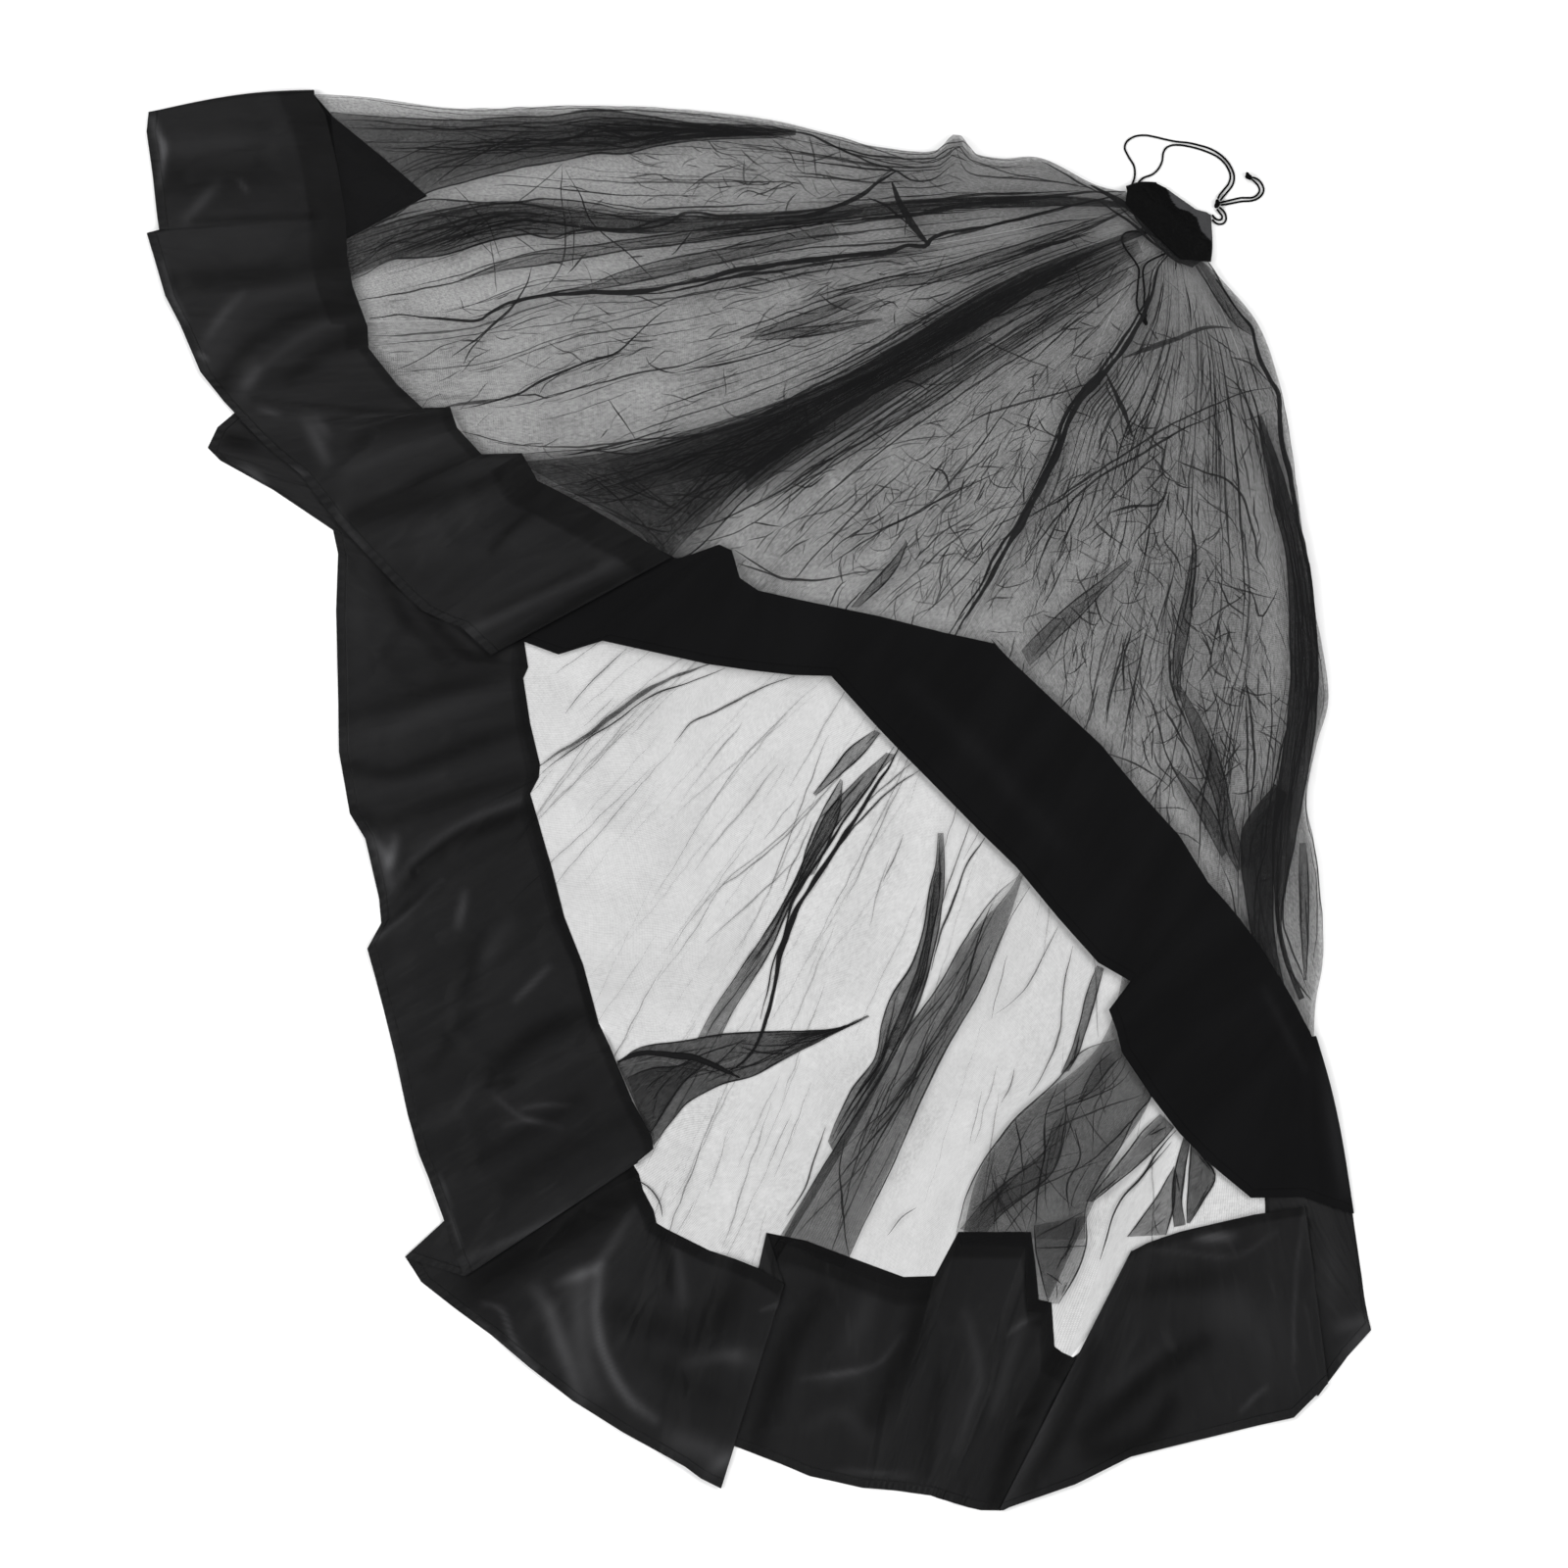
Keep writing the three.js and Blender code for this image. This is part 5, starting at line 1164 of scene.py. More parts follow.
def lay_tuck(first, second, cover, seed, fade=0.0):
    """A wide fold of doubled cloth between two plan lines, faint over a first share of it."""
    a, b = centripetal(plan(first), 12), centripetal(plan(second), 12)
    count = max(6, int(max(run_length(a)[-1], run_length(b)[-1]) / (7 * PLAN_UNIT)))
    shares = np.linspace(0, 1, count)
    a, b = along(a, shares), along(b, shares)
    across = max(3, int(np.linalg.norm(a - b, axis=1).max() / (7 * PLAN_UNIT)) + 2)
    w = np.linspace(0, 1, across)[None, :, None]
    covers = cover * (smooth(shares / fade) if fade else np.ones(count))
    lay_fold(a[:, None] * (1 - w) + b[:, None] * w, covers, 0.3, seed)
    for k, line in enumerate((a, b)):
        lay_crease(line[int(count * fade * 0.5):], 1.7, TUCK_EDGE, seed + 0.5 * k, 0.6)
    for k in range(count * across // TUCK_CREASE_PLACES):
        first_share = chance.uniform(0, 0.8)
        last_share = min(1, first_share + chance.uniform(0.15, 0.45))
        picks = np.linspace(first_share, last_share, 10)
        over = np.linspace(chance.uniform(0.05, 0.95), chance.uniform(0.05, 0.95), 10)[:, None]
        line = along(a, picks) * (1 - over) + along(b, picks) * over
        lay_crease(line, chance.uniform(0.7, 1.8), chance.uniform(0.45, 0.9), seed + 0.01 * k, 1.4)


chance = np.random.default_rng(SEED)
for number, (cover, first, second, *fade) in enumerate(TUCKS):
    lay_tuck(first, second, cover, number, *fade)
for number, (width, cover, line) in enumerate(SEAMS + CREASES):
    lay_crease(centripetal(plan(line), 12), width, min(MOST_COVER, cover * CREASE_GAIN),
               100 + number)

# Long fine creases of the front, that run with the columns of the panels' own grids.
front_columns = {name: np.where(grid[:, NET_ROWS // 2, 2] > FRONT_FROM * MM)[0]
                 for name, grid in net_grids.items()}
all_columns = sum(len(columns) for columns in front_columns.values())
for name, grid in net_grids.items():
    candidates = front_columns[name]
    if len(candidates) < 4:
        continue
    for number in range(FLOW_CREASES * len(candidates) // all_columns):
        first = chance.uniform(0.06, 0.8)
        last = min(0.98, first + chance.uniform(0.06, 0.36))
        rows = np.linspace(first, last, 12) * (NET_ROWS - 1)
        column, drift = chance.choice(candidates), chance.uniform(-1.6, 1.6)
        places = np.clip(column + drift * np.linspace(0, 1, 12) ** 1.5, 0, len(grid) - 1.001)
        low = places.astype(int)
        line = np.array([grid[c, int(r)] * (1 - f) + grid[c + 1, int(r)] * f
                         for c, r, f in zip(low, rows, places - low)])
        line[:, 2] = 0
        lay_crease(line, 0.7 + 1.5 * chance.random() ** 2, chance.uniform(0.6, 0.95), number)

# Fine straight creases of the back, that run from the neck towards the lower left.
BACK_PLACES = ((540, 1300), (650, 1290))
laid = 0
while laid < BACK_CREASES:
    x, y = chance.uniform(*BACK_PLACES[0]), chance.uniform(*BACK_PLACES[1])
    heading = from_gather(x, y) + chance.normal(0, 0.09)
    reach = chance.uniform(20, 110)
    dx, dy = reach * math.cos(heading), reach * math.sin(heading)
    line = plan([(x + k * dx, y + k * dy) for k in np.linspace(-1, 1, 9)])
    hits = [net_top(*point[:2]) for point in line[2:-2]]
    if any(hit is None or in_front(hit) for hit in hits):
        continue
    lay_crease(line, chance.uniform(0.7, 1.5), 0.1 + 0.45 * chance.random() ** 2, laid, 2.0)
    laid += 1

# Short creases, where the net is crumpled: a place, how far they spread, their share of them
# all, and how much their directions spread.
CRUMPLED = [
    ((1180, 560), (130, 210), 0.32, 0.5), ((1130, 420), (140, 90), 0.16, 0.45),
    ((1240, 720), (90, 130), 0.12, 0.4), ((960, 520), (150, 110), 0.24, 0.4),
    ((800, 180), (150, 34), 0.08, 0.3), ((860, 290), (170, 50), 0.09, 0.3),
    ((620, 360), (210, 80), 0.08, 0.3),
]
for (cx, cy), (sx, sy), share, turned in CRUMPLED:
    for number in range(int(FRONT_CREASES * share)):
        x, y = chance.normal(cx, sx * 0.6), chance.normal(cy, sy * 0.6)
        heading = from_gather(x, y) + chance.normal(0, turned)
        if chance.random() < 0.15:
            heading += chance.choice((-1, 1)) * chance.uniform(0.7, 1.3)
        route = []
        for _ in range(int(chance.uniform(3, 7))):
            route.append((x, y))
            step = chance.uniform(5, 11)
            x, y = x + step * math.cos(heading), y + step * math.sin(heading)
            heading += chance.normal(0, 0.28)
        line = plan(route)
        if in_front(net_top(*line[0, :2])) and in_front(net_top(*line[-1, :2])):
            width, cover = chance.uniform(0.8, 1.9), 0.28 + 0.6 * chance.random() ** 1.4
            lay_crease(line, width, cover, number, 0.8)

for name, parts in net_parts.items():
    piece = make_piece(name.replace("_panel", "_cloth"), parts, [net_look],
                       {"cover": 1, "cloth": 3, "crease": 1})
    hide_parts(name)
    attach(piece, "root")

# Border: one band of cloth round the whole hem, from the fold at the upper left along the
# front, round the fold at the right and back along the lower layer.
# Columns: inner x, inner y, outer x, outer y, inner height, outer height, swell in the middle,
# on a turn the inner and outer height on which the band goes on, and how far the fold bows out.
FLOOR_BORDER = 0.6
FRONT_HEM = 4
OVER_NET = 9
PLEAT_STEP = 2.4
B0 = FLOOR_BORDER
B1 = FLOOR_BORDER + PLEAT_STEP
B2 = FLOOR_BORDER + 2 * PLEAT_STEP
F1 = FRONT + PLEAT_STEP
F2 = FRONT + 2 * PLEAT_STEP
H1 = FRONT_HEM + PLEAT_STEP
H2 = FRONT_HEM + 2 * PLEAT_STEP
FRONT_BAND = [
    [321, 97, 152, 116, B0, B0, 0, FRONT, FRONT_HEM, -5],
    [333, 118, 150, 135, FRONT, FRONT_HEM, 1.5],
    [345, 170, 156, 178, FRONT, FRONT_HEM, 0],
    [351, 205, 161, 222, FRONT, 6, 2.5],
    [353, 216, 163, 235, FRONT, 6.5, 2],
    [354, 226, 150, 238, FRONT, FRONT_HEM, 0],
    [355, 262, 157, 261, FRONT, FRONT_HEM, 0],
    [361, 294, 169, 302, FRONT, 5.5, 3],
    [376, 334, 184, 331, FRONT, FRONT_HEM, 0],
    [377, 356, 205, 380, FRONT, 5.5, 3.5],
    [406, 393, 228, 409, FRONT, FRONT_HEM, 0],
    [432, 417, 254, 437, FRONT, 5.5, 2.5],
    [460, 416, 278, 461, FRONT, FRONT_HEM, 0],
    [467, 437, 306, 483, FRONT, FRONT_HEM, 0],
    [492, 464, 345, 534, FRONT, 6, 4],
    [533, 463, 370, 561, FRONT, 5, 0],
    [549, 491, 405, 598, FRONT, 6, 3.5],
    [596, 515, 431, 623, FRONT, FRONT_HEM, 0],
    [632, 536, 455, 634, FRONT, FRONT_HEM, 0],
    [650, 547, 471, 640, F2, H2, 0],
    [685, 569, 501, 668, F2, H2, 0, F1, H1],
    [668, 559, 487, 655, F1, H1, 0, FRONT, FRONT_HEM],
    [692, 571, 535, 655, FRONT, FRONT_HEM, 0],
    [703, 567, 570, 668, FRONT, 5, 0],
    [734, 556, 615, 654, FRONT, 6, 1],
    [747, 562, 660, 664, FRONT, 8, 0],
    [755, 590, 723, 678, FRONT, OVER_NET, 0],
    [774, 603, 765, 684, FRONT, OVER_NET, 0],
    [819, 613, 809, 689, FRONT, OVER_NET, 0],
    [897, 629, 848, 690, FRONT, OVER_NET, 0],
    [964, 646, 895, 742, FRONT, OVER_NET, 1.5],
    [1015, 657, 918, 766, FRONT, OVER_NET, 0],
    [1028, 671, 941, 789, FRONT, OVER_NET, 0],
    [1082, 722, 1000, 849, FRONT, OVER_NET, 2],
    [1123, 760, 1037, 885, FRONT, OVER_NET, 0],
    [1165, 811, 1079, 936, FRONT, OVER_NET, 2],
    [1203, 853, 1120, 982, FRONT, OVER_NET, 0],
    [1232, 900, 1153, 1001, FRONT, OVER_NET, 0],
    [1250, 920, 1131, 1030, FRONT, OVER_NET, 2],
    [1265, 938, 1139, 1051, FRONT, OVER_NET, 0],
    [1288, 970, 1144, 1073, FRONT, OVER_NET, 0],
    [1310, 1005, 1174, 1118, FRONT, OVER_NET, 2],
    [1322, 1026, 1203, 1156, FRONT, 8, 0],
    [1329, 1040, 1235, 1188, FRONT, 6.5, 0],
    [1334, 1049, 1276, 1222, FRONT, 5, 2],
    [1336, 1053, 1330, 1221, FRONT, FRONT_HEM, 0],
    [1338, 1058, 1380, 1238, FRONT, FRONT_HEM, 0, B0, B0, 4],
]
BACK_BAND = [
    [1306, 1112, 1389, 1300, B0, B0, 0],
    [1293, 1158, 1392, 1323, B0, B0, 1],
    [1289, 1200, 1396, 1345, B0, B0, 0],
    [1291, 1230, 1399, 1357, B0, B0, 0],
    [1291, 1246, 1375, 1384, B0, B0, 0],
    [1290, 1256, 1345, 1424, B0, B0, 0, B1, B1],
    [1331, 1231, 1354, 1412, B1, B1, 0, B2, B2],
    [1279, 1239, 1320, 1446, B2, B2, 0],
    [1240, 1248, 1285, 1454, 4, 2.5, 2],
    [1206, 1256, 1215, 1471, 3, 2, 0],
    [1187, 1262, 1154, 1486, 4, 3.5, 4],
    [1170, 1268, 1097, 1514, B2, B2, 0],
    [1155, 1276, 1020, 1541, B2, B2, 0, B1, B1],
    [1165, 1330, 1064, 1521, B1, B1, 0, B0, B0],
    [1095, 1385, 1024, 1541, B0, B0, 0],
    [1084, 1380, 1001, 1541, B0, B0, 0],
    [1076, 1374, 988, 1538, B0, B0, 0],
    [1073, 1329, 975, 1534, B0, 2, 2],
    [1060, 1326, 965, 1531, B0, B0, 0],
    [1057, 1294, 958, 1529, B0, B0, 0],
    [1052, 1257, 950, 1526, B0, B0, 2.5],
    [978, 1257, 915, 1521, B0, B0, 0],
    [954, 1302, 895, 1519, B0, 2, 1],
    [922, 1303, 880, 1518, B0, B0, 0],
    [865, 1282, 826, 1506, B0, B0, 3],
    [823, 1266, 795, 1493, B0, B0, 0],
    [783, 1258, 735, 1470, B0, B0, 0, B1, B1],
    [800, 1310, 735, 1518, B1, B1, 0, B2, B2],
    [775, 1294, 715, 1508, B2, B2, 1],
    [750, 1284, 699, 1496, B2, B2, 2],
    [724, 1276, 662, 1476, B0, B0, 0],
    [692, 1260, 635, 1461, B0, 2, 5],
    [680, 1254, 584, 1429, B0, B0, 0],
    [670, 1248, 539, 1394, B0, 3, 6],
    [667, 1235, 501, 1362, B0, B0, 0],
    [656, 1214, 463, 1334, B0, 1, 1.5],
    [652, 1198, 430, 1308, B0, B0, 0],
    [600, 1112, 414, 1283, B0, B0, 0, B1, B1],
    [651, 1185, 474, 1302, B1, B1, 0, B2, B2],
    [667, 1172, 470, 1292, B2, B2, 0],
    [665, 1159, 466, 1283, B2, B2, 1],
    [646, 1124, 452, 1241, B2, B2, 0],
    [630, 1086, 437, 1200, B2, B2, 1],
    [622, 1066, 428, 1178, B2, B2, 0],
    [611, 1044, 416, 1137, B0, B0, 0],
    [595, 984, 403, 1076, B0, 2, 3.5],
    [576, 936, 392, 1032, B0, B0, 0],
    [563, 885, 383, 997, B0, 2, 4],
    [557, 865, 375, 968, B0, 4, 3],
    [550, 840, 389, 942, B0, B0, 0],
    [541, 810, 387, 917, B0, 2, 4],
    [550, 793, 373, 856, B0, 3, 5],
    [551, 780, 357, 830, B0, B0, 0],
    [541, 738, 346, 767, B0, 2, 4],
    [534, 692, 345, 706, B0, B0, 0],
    [539, 681, 344, 660, B0, 1.5, 3],
    [535, 655, 343, 623, B0, B0, 0],
    [515, 620, 345, 565, B0, B0, 0],
    [495, 590, 340, 541, B0, B0, 0],
    [470, 560, 279, 500, B0, B0, 1],
    [450, 530, 225, 470, B0, B0, 0],
    [430, 500, 212, 457, B0, B0, 0],
    [415, 470, 222, 436, B0, B0, 0],
    [400, 440, 246, 416, B0, B0, 0],
    [370, 350, 215, 345, B0, B0, 0],
    [352, 290, 190, 280, B0, B0, 0],
    [352, 245, 190, 245, B0, B0, 0],
    [436, 200, 215, 190, B0, B0, 0],
    [390, 160, 195, 155, B0, B0, 0],
    [341, 120, 165, 130, B0, B0, 0],
]

BAND_ROWS = 56
BAND_COLUMN = 0.0045
SEAM_SHARE = 0.1
V = np.linspace(0, 1, BAND_ROWS)


def band_rib(ix, iy, ox, oy, inner, outer, swell, bow=0):
    """A rib of the border, from the net to its own hem."""
    a, b = plan([(ix, iy), (ox, oy)])
    points = a + (b - a) * V[:, None]
    side = np.array([a[1] - b[1], b[0] - a[0]]) / np.linalg.norm(b - a)
    points[:, :2] += side * bow * PLAN_UNIT * np.sin(math.pi * V)[:, None]
    slope = smooth((V - SEAM_SHARE) / (1 - SEAM_SHARE))
    points[:, 2] = (inner + (outer - inner) * slope + swell * np.sin(math.pi * V) ** 2) * MM
    return points


def band_stop(row):
    """The rib of one row of the tables, and the rib on which the band goes on after a turn."""
    ix, iy, ox, oy, inner, outer, swell, *on = row
    bow = on[2] if len(on) > 2 else 0
    stop = {"points": band_rib(ix, iy, ox, oy, inner, outer, swell, bow)}
    if on:
        stop["turned"] = band_rib(ix, iy, ox, oy, on[0], on[1], swell, bow)
    return stop


def eased_columns(ribs, column):
    """A ring's ribs with more between them, whose heights ease, and which rib each follows."""
    filled, follows = [], []
    for i, (a, b) in enumerate(zip(ribs, [*ribs[1:], ribs[0]])):
        parts = max(1, math.ceil(np.linalg.norm(b - a, axis=1).max() / column))
        for k in range(parts):
            rib = a + (b - a) * k / parts
            rib[:, 2] = a[:, 2] + (b[:, 2] - a[:, 2]) * smooth(k / parts)
            filled.append(rib)
            follows.append(i)
    return np.array(filled), np.array(follows)


# The band's lengths between its folds, each from its first row of the tables above.
LENGTHS = [("front", 0), ("matt", 21), ("right", 47), ("flap", 53), ("middle", 60),
           ("corner", 74), ("column", 85)]

# The darker seam along the net: from which row, and how wide in metres.
SEAM_WIDTHS = [
    (0, 0.044), (7, 0.044), (9, 0.012), (14, 0.012), (15, 0.044), (20, 0.044), (21, 0), (46, 0),
    (47, 0.01), (59, 0.01), (60, 0.034), (73, 0.034), (74, 0.016), (84, 0.016), (85, 0.011),
    (200, 0.011),
]
SEAM_DARKER = 0.8

# Soft folds of the satin, with painted highlights and painted shade: the length they are on, half
# their width in plan units, how much lighter or darker they are painted in stops, and their line.
SATIN_FOLDS_AND_PAINTED_SHEEN = [
    ("front", 16, -0.7, [(165, 184), (240, 180), (305, 172)]),
    ("front", 10, 0.45, [(168, 150), (230, 146), (298, 142)]),
    ("front", 5, 2.0, [(156, 122), (161, 135), (167, 150), (166, 170), (163, 190)]),
    ("front", 7, 1.25, [(192, 222), (205, 208), (222, 188)]),
    ("front", 3, 1.3, [(245, 184), (253, 196)]),
    ("front", 17, 0.4, [(172, 242), (230, 239), (316, 237)]),
    ("front", 4, -0.9, [(200, 226), (260, 224), (318, 222)]),
    ("front", 12, -1.0, [(180, 289), (230, 284), (300, 276), (342, 268)]),
    ("front", 11, 0.5, [(338, 290), (300, 295), (265, 306), (240, 325), (222, 350), (213, 372)]),
    ("front", 6, 1.0, [(211, 346), (228, 322), (249, 300)]),
    ("front", 4, 1.4, [(167, 268), (175, 298), (190, 328)]),
    ("front", 3, 1.6, [(203, 360), (212, 368)]),
    ("front", 8, -1.1, [(364, 312), (330, 318), (308, 326), (275, 340), (254, 355), (238, 375),
     (226, 394)]),
    ("front", 6, 0.6, [(364, 325), (330, 334), (308, 345), (285, 362), (265, 380)]),
    ("front", 9, 1.5, [(248, 398), (262, 380)]),
    ("front", 9, -1.0, [(372, 340), (345, 352), (324, 366), (298, 387)]),
    ("front", 3, -0.9, [(259, 409), (320, 415), (380, 420), (430, 420)]),
    ("front", 8, 1.4, [(314, 432), (322, 446), (334, 470)]),
    ("front", 6, 1.0, [(324, 428), (336, 444)]),
    ("front", 4, 1.1, [(266, 418), (286, 424)]),
    ("front", 3, 1.3, [(296, 478), (312, 484)]),
    ("front", 9, -0.8, [(362, 455), (385, 440), (420, 430), (456, 424)]),
    ("front", 7, 0.5, [(356, 482), (400, 464), (440, 452), (464, 446)]),
    ("front", 8, -0.9, [(367, 520), (410, 504), (440, 488), (470, 474), (494, 465)]),
    ("front", 9, -1.0, [(362, 531), (400, 523), (432, 512), (470, 500), (506, 489)]),
    ("front", 15, 0.4, [(378, 553), (432, 541), (480, 526), (515, 508)]),
    ("front", 13, 0.3, [(432, 570), (490, 557), (545, 541)]),
    ("front", 5, -0.9, [(502, 560), (520, 542), (542, 524)]),
    ("front", 8, -1.0, [(500, 626), (550, 604), (604, 578)]),
    ("front", 7, 1.2, [(476, 648), (510, 630), (545, 612), (590, 592), (630, 573)]),
    ("front", 7, -1.2, [(505, 668), (560, 634), (604, 606), (650, 586)]),
    ("front", 4, 0.9, [(345, 520), (356, 540), (372, 560)]),
    ("matt", 9, 1.1, [(1350, 1080), (1361, 1150), (1373, 1216)]),
    ("matt", 1.8, 1.2, [(618, 656), (660, 668), (723, 681), (765, 687), (812, 691)]),
    ("matt", 12, 0.4, [(930, 700), (1000, 770), (1080, 860)]),
    ("matt", 5, 0.6, [(1290, 1010), (1310, 1050), (1330, 1090)]),
    ("column", 6, 1.4, [(248, 476), (262, 486), (272, 502)]),
    ("column", 8, -1.4, [(228, 446), (256, 452)]),
    ("column", 3, 1.0, [(232, 476), (280, 506), (335, 538)]),
    ("column", 8, -0.9, [(384, 576), (400, 610), (414, 634), (440, 655), (458, 677)]),
    ("column", 7, -1.3, [(430, 620), (455, 650), (478, 668), (504, 672)]),
    ("column", 14, 0.35, [(360, 590), (366, 640), (372, 700)]),
    ("column", 9, -0.8, [(347, 730), (390, 722), (430, 708), (480, 695), (535, 681)]),
    ("column", 11, 0.45, [(354, 757), (400, 745), (444, 728), (490, 712), (528, 700)]),
    ("column", 8, -0.9, [(354, 782), (400, 788), (440, 776), (478, 760), (540, 740)]),
    ("column", 10, 0.4, [(362, 812), (420, 800), (480, 785), (542, 772)]),
    ("column", 9, -1.0, [(360, 826), (389, 839), (430, 826), (457, 816), (500, 803), (537, 794)]),
    ("column", 8, 1.9, [(382, 857), (392, 872), (397, 900)]),
    ("column", 6, 1.5, [(404, 854), (400, 880)]),
    ("column", 5, 1.0, [(396, 915), (412, 890), (437, 865), (465, 845), (492, 831), (547, 811)]),
    ("column", 8, -1.3, [(412, 900), (440, 876), (470, 855), (510, 838), (552, 824)]),
    ("column", 6, -1.0, [(392, 945), (420, 924), (448, 904)]),
    ("column", 3.5, 1.3, [(382, 960), (400, 945), (416, 932), (451, 899)]),
    ("column", 5, 1.3, [(468, 946), (472, 927), (475, 911)]),
    ("column", 10, 0.7, [(492, 988), (505, 962), (519, 940)]),
    ("column", 8, -0.6, [(468, 1012), (480, 985), (488, 958)]),
    ("column", 4, 1.2, [(526, 1021), (543, 1004), (560, 987)]),
    ("column", 11, -1.1, [(506, 1092), (530, 1068), (560, 1049), (602, 1034)]),
    ("column", 8, -0.6, [(438, 1092), (460, 1060), (482, 1038)]),
    ("column", 3, 1.0, [(533, 1131), (556, 1127), (581, 1128)]),
    ("column", 3.5, 0.9, [(505, 1118), (530, 1138), (552, 1146)]),
    ("column", 3.5, 0.8, [(515, 1148), (545, 1143), (572, 1150)]),
    ("column", 4, -0.9, [(498, 1108), (522, 1102)]),
    ("column", 10, -0.6, [(480, 1190), (530, 1160), (590, 1120)]),
    ("column", 12, 0.35, [(450, 1150), (490, 1112)]),
    ("column", 10, -0.5, [(520, 1212), (580, 1172), (640, 1140)]),
    ("column", 5, 1.0, [(471, 1288), (500, 1274), (540, 1256), (600, 1226), (652, 1190)]),
    ("column", 2, 1.5, [(449, 1200), (458, 1228), (470, 1272)]),
    ("column", 2.5, 0.9, [(396, 1040), (404, 1080), (416, 1130)]),
    ("corner", 17, -1.8, [(652, 1208), (615, 1231), (579, 1251), (530, 1281), (489, 1311)]),
    ("corner", 7, 1.9, [(613, 1292), (609, 1330), (612, 1365), (625, 1400), (645, 1430),
     (668, 1448)]),
    ("corner", 12, 1.3, [(595, 1302), (592, 1345), (598, 1392), (610, 1422)]),
    ("corner", 9, 1.6, [(548, 1316), (562, 1340), (572, 1370), (583, 1402), (592, 1428)]),
    ("corner", 7, 1.4, [(570, 1309), (603, 1296)]),
    ("corner", 3.5, 1.4, [(493, 1329), (511, 1336), (525, 1370), (547, 1396)]),
    ("corner", 6, 0.9, [(651, 1230), (636, 1252), (622, 1274), (607, 1294)]),
    ("corner", 6, 0.9, [(690, 1272), (694, 1300), (698, 1330)]),
    ("corner", 16, -1.0, [(633, 1340), (655, 1350), (682, 1356)]),
    ("corner", 7, -0.9, [(668, 1242), (680, 1280), (684, 1312)]),
    ("corner", 8, 0.9, [(702, 1391), (728, 1384), (750, 1382)]),
    ("corner", 13, 0.9, [(745, 1380), (766, 1388)]),
    ("corner", 16, -0.9, [(706, 1368), (730, 1342), (746, 1320)]),
    ("corner", 15, 1.2, [(684, 1466), (712, 1476), (738, 1486)]),
    ("corner", 9, 1.1, [(724, 1502), (746, 1484)]),
    ("corner", 12, -0.5, [(655, 1385), (690, 1408), (735, 1425)]),
    ("corner", 2.5, 1.3, [(778, 1336), (801, 1330), (820, 1336), (831, 1346)]),
    ("corner", 6, 0.6, [(790, 1360), (800, 1380), (790, 1402)]),
    ("corner", 7, -0.7, [(822, 1358), (798, 1396), (777, 1433), (760, 1470)]),
    ("corner", 2, 1.2, [(478, 1336), (515, 1374), (548, 1400)]),
    ("corner", 2, 0.9, [(600, 1450), (660, 1486), (705, 1508)]),
    ("middle", 12, -1.1, [(838, 1322), (808, 1370), (788, 1420), (770, 1476)]),
    ("middle", 12, 0.6, [(888, 1325), (875, 1355), (862, 1380)]),
    ("middle", 8, 0.7, [(838, 1408), (872, 1400)]),
    ("middle", 3.5, 0.9, [(819, 1407), (850, 1402), (882, 1397), (900, 1388), (919, 1363)]),
    ("middle", 12, -1.2, [(950, 1308), (940, 1335), (932, 1363), (912, 1405), (894, 1446)]),
    ("middle", 6, 0.8, [(985, 1340), (994, 1370), (1000, 1405), (990, 1440), (975, 1482)]),
    ("middle", 7, 0.8, [(1044, 1350), (1030, 1390), (1013, 1440)]),
    ("middle", 11, -1.5, [(1078, 1384), (1058, 1425), (1038, 1469), (1024, 1505), (1013, 1540)]),
    ("middle", 4, 0.9, [(855, 1500), (890, 1503), (930, 1506)]),
    ("middle", 9, 0.5, [(826, 1456), (860, 1442), (884, 1466)]),
    ("middle", 7, -0.6, [(962, 1400), (952, 1450), (946, 1500)]),
    ("middle", 3, 1.0, [(1028, 1362), (1044, 1350), (1058, 1344)]),
    ("flap", 6, 0.9, [(1137, 1290), (1113, 1325), (1097, 1360), (1077, 1425), (1051, 1485),
     (1026, 1532)]),
    ("flap", 8, -0.9, [(1118, 1372), (1104, 1415), (1078, 1470), (1050, 1515)]),
    ("flap", 6, 1.8, [(1222, 1263), (1240, 1262), (1257, 1261)]),
    ("flap", 3, 0.7, [(1150, 1271), (1200, 1277), (1262, 1281), (1302, 1256)]),
    ("flap", 13, -0.9, [(1163, 1316), (1205, 1308), (1252, 1301)]),
    ("flap", 28, 0.5, [(1232, 1332), (1286, 1352), (1298, 1402)]),
    ("flap", 11, -1.2, [(1107, 1464), (1140, 1436), (1176, 1403), (1228, 1369)]),
    ("flap", 9, 0.5, [(1128, 1422), (1160, 1396), (1190, 1372)]),
    ("flap", 11, -1.1, [(1113, 1482), (1150, 1475), (1175, 1461), (1196, 1432)]),
    ("flap", 2.5, 0.9, [(1331, 1234), (1324, 1280), (1320, 1330), (1320, 1390)]),
    ("flap", 3, 1.0, [(1266, 1440), (1280, 1425), (1292, 1415)]),
    ("right", 7, -0.9, [(1336, 1250), (1331, 1320), (1331, 1404)]),
    ("right", 9, 1.2, [(1368, 1354), (1394, 1350), (1374, 1382)]),
    ("right", 9, 0.4, [(1356, 1280), (1360, 1330)]),
]
# How far the folds rise in millimetres per stop, the limits of the stops, and the gain of the
# painted highlights and painted shade in the colour.
FOLD_RISE = 0.7
STOPS = (-2.2, 2.4)
PAINTED_SHEEN_GAIN = 1.25

taffeta = taffeta_material("taffeta_satin", (0.0088, 0.0088, 0.0092), 0.32, 0.07, 0.006)
taffeta_matt = taffeta_material("taffeta_matt", (0.0042, 0.0042, 0.0045), 0.6, 0.03, 0.003)

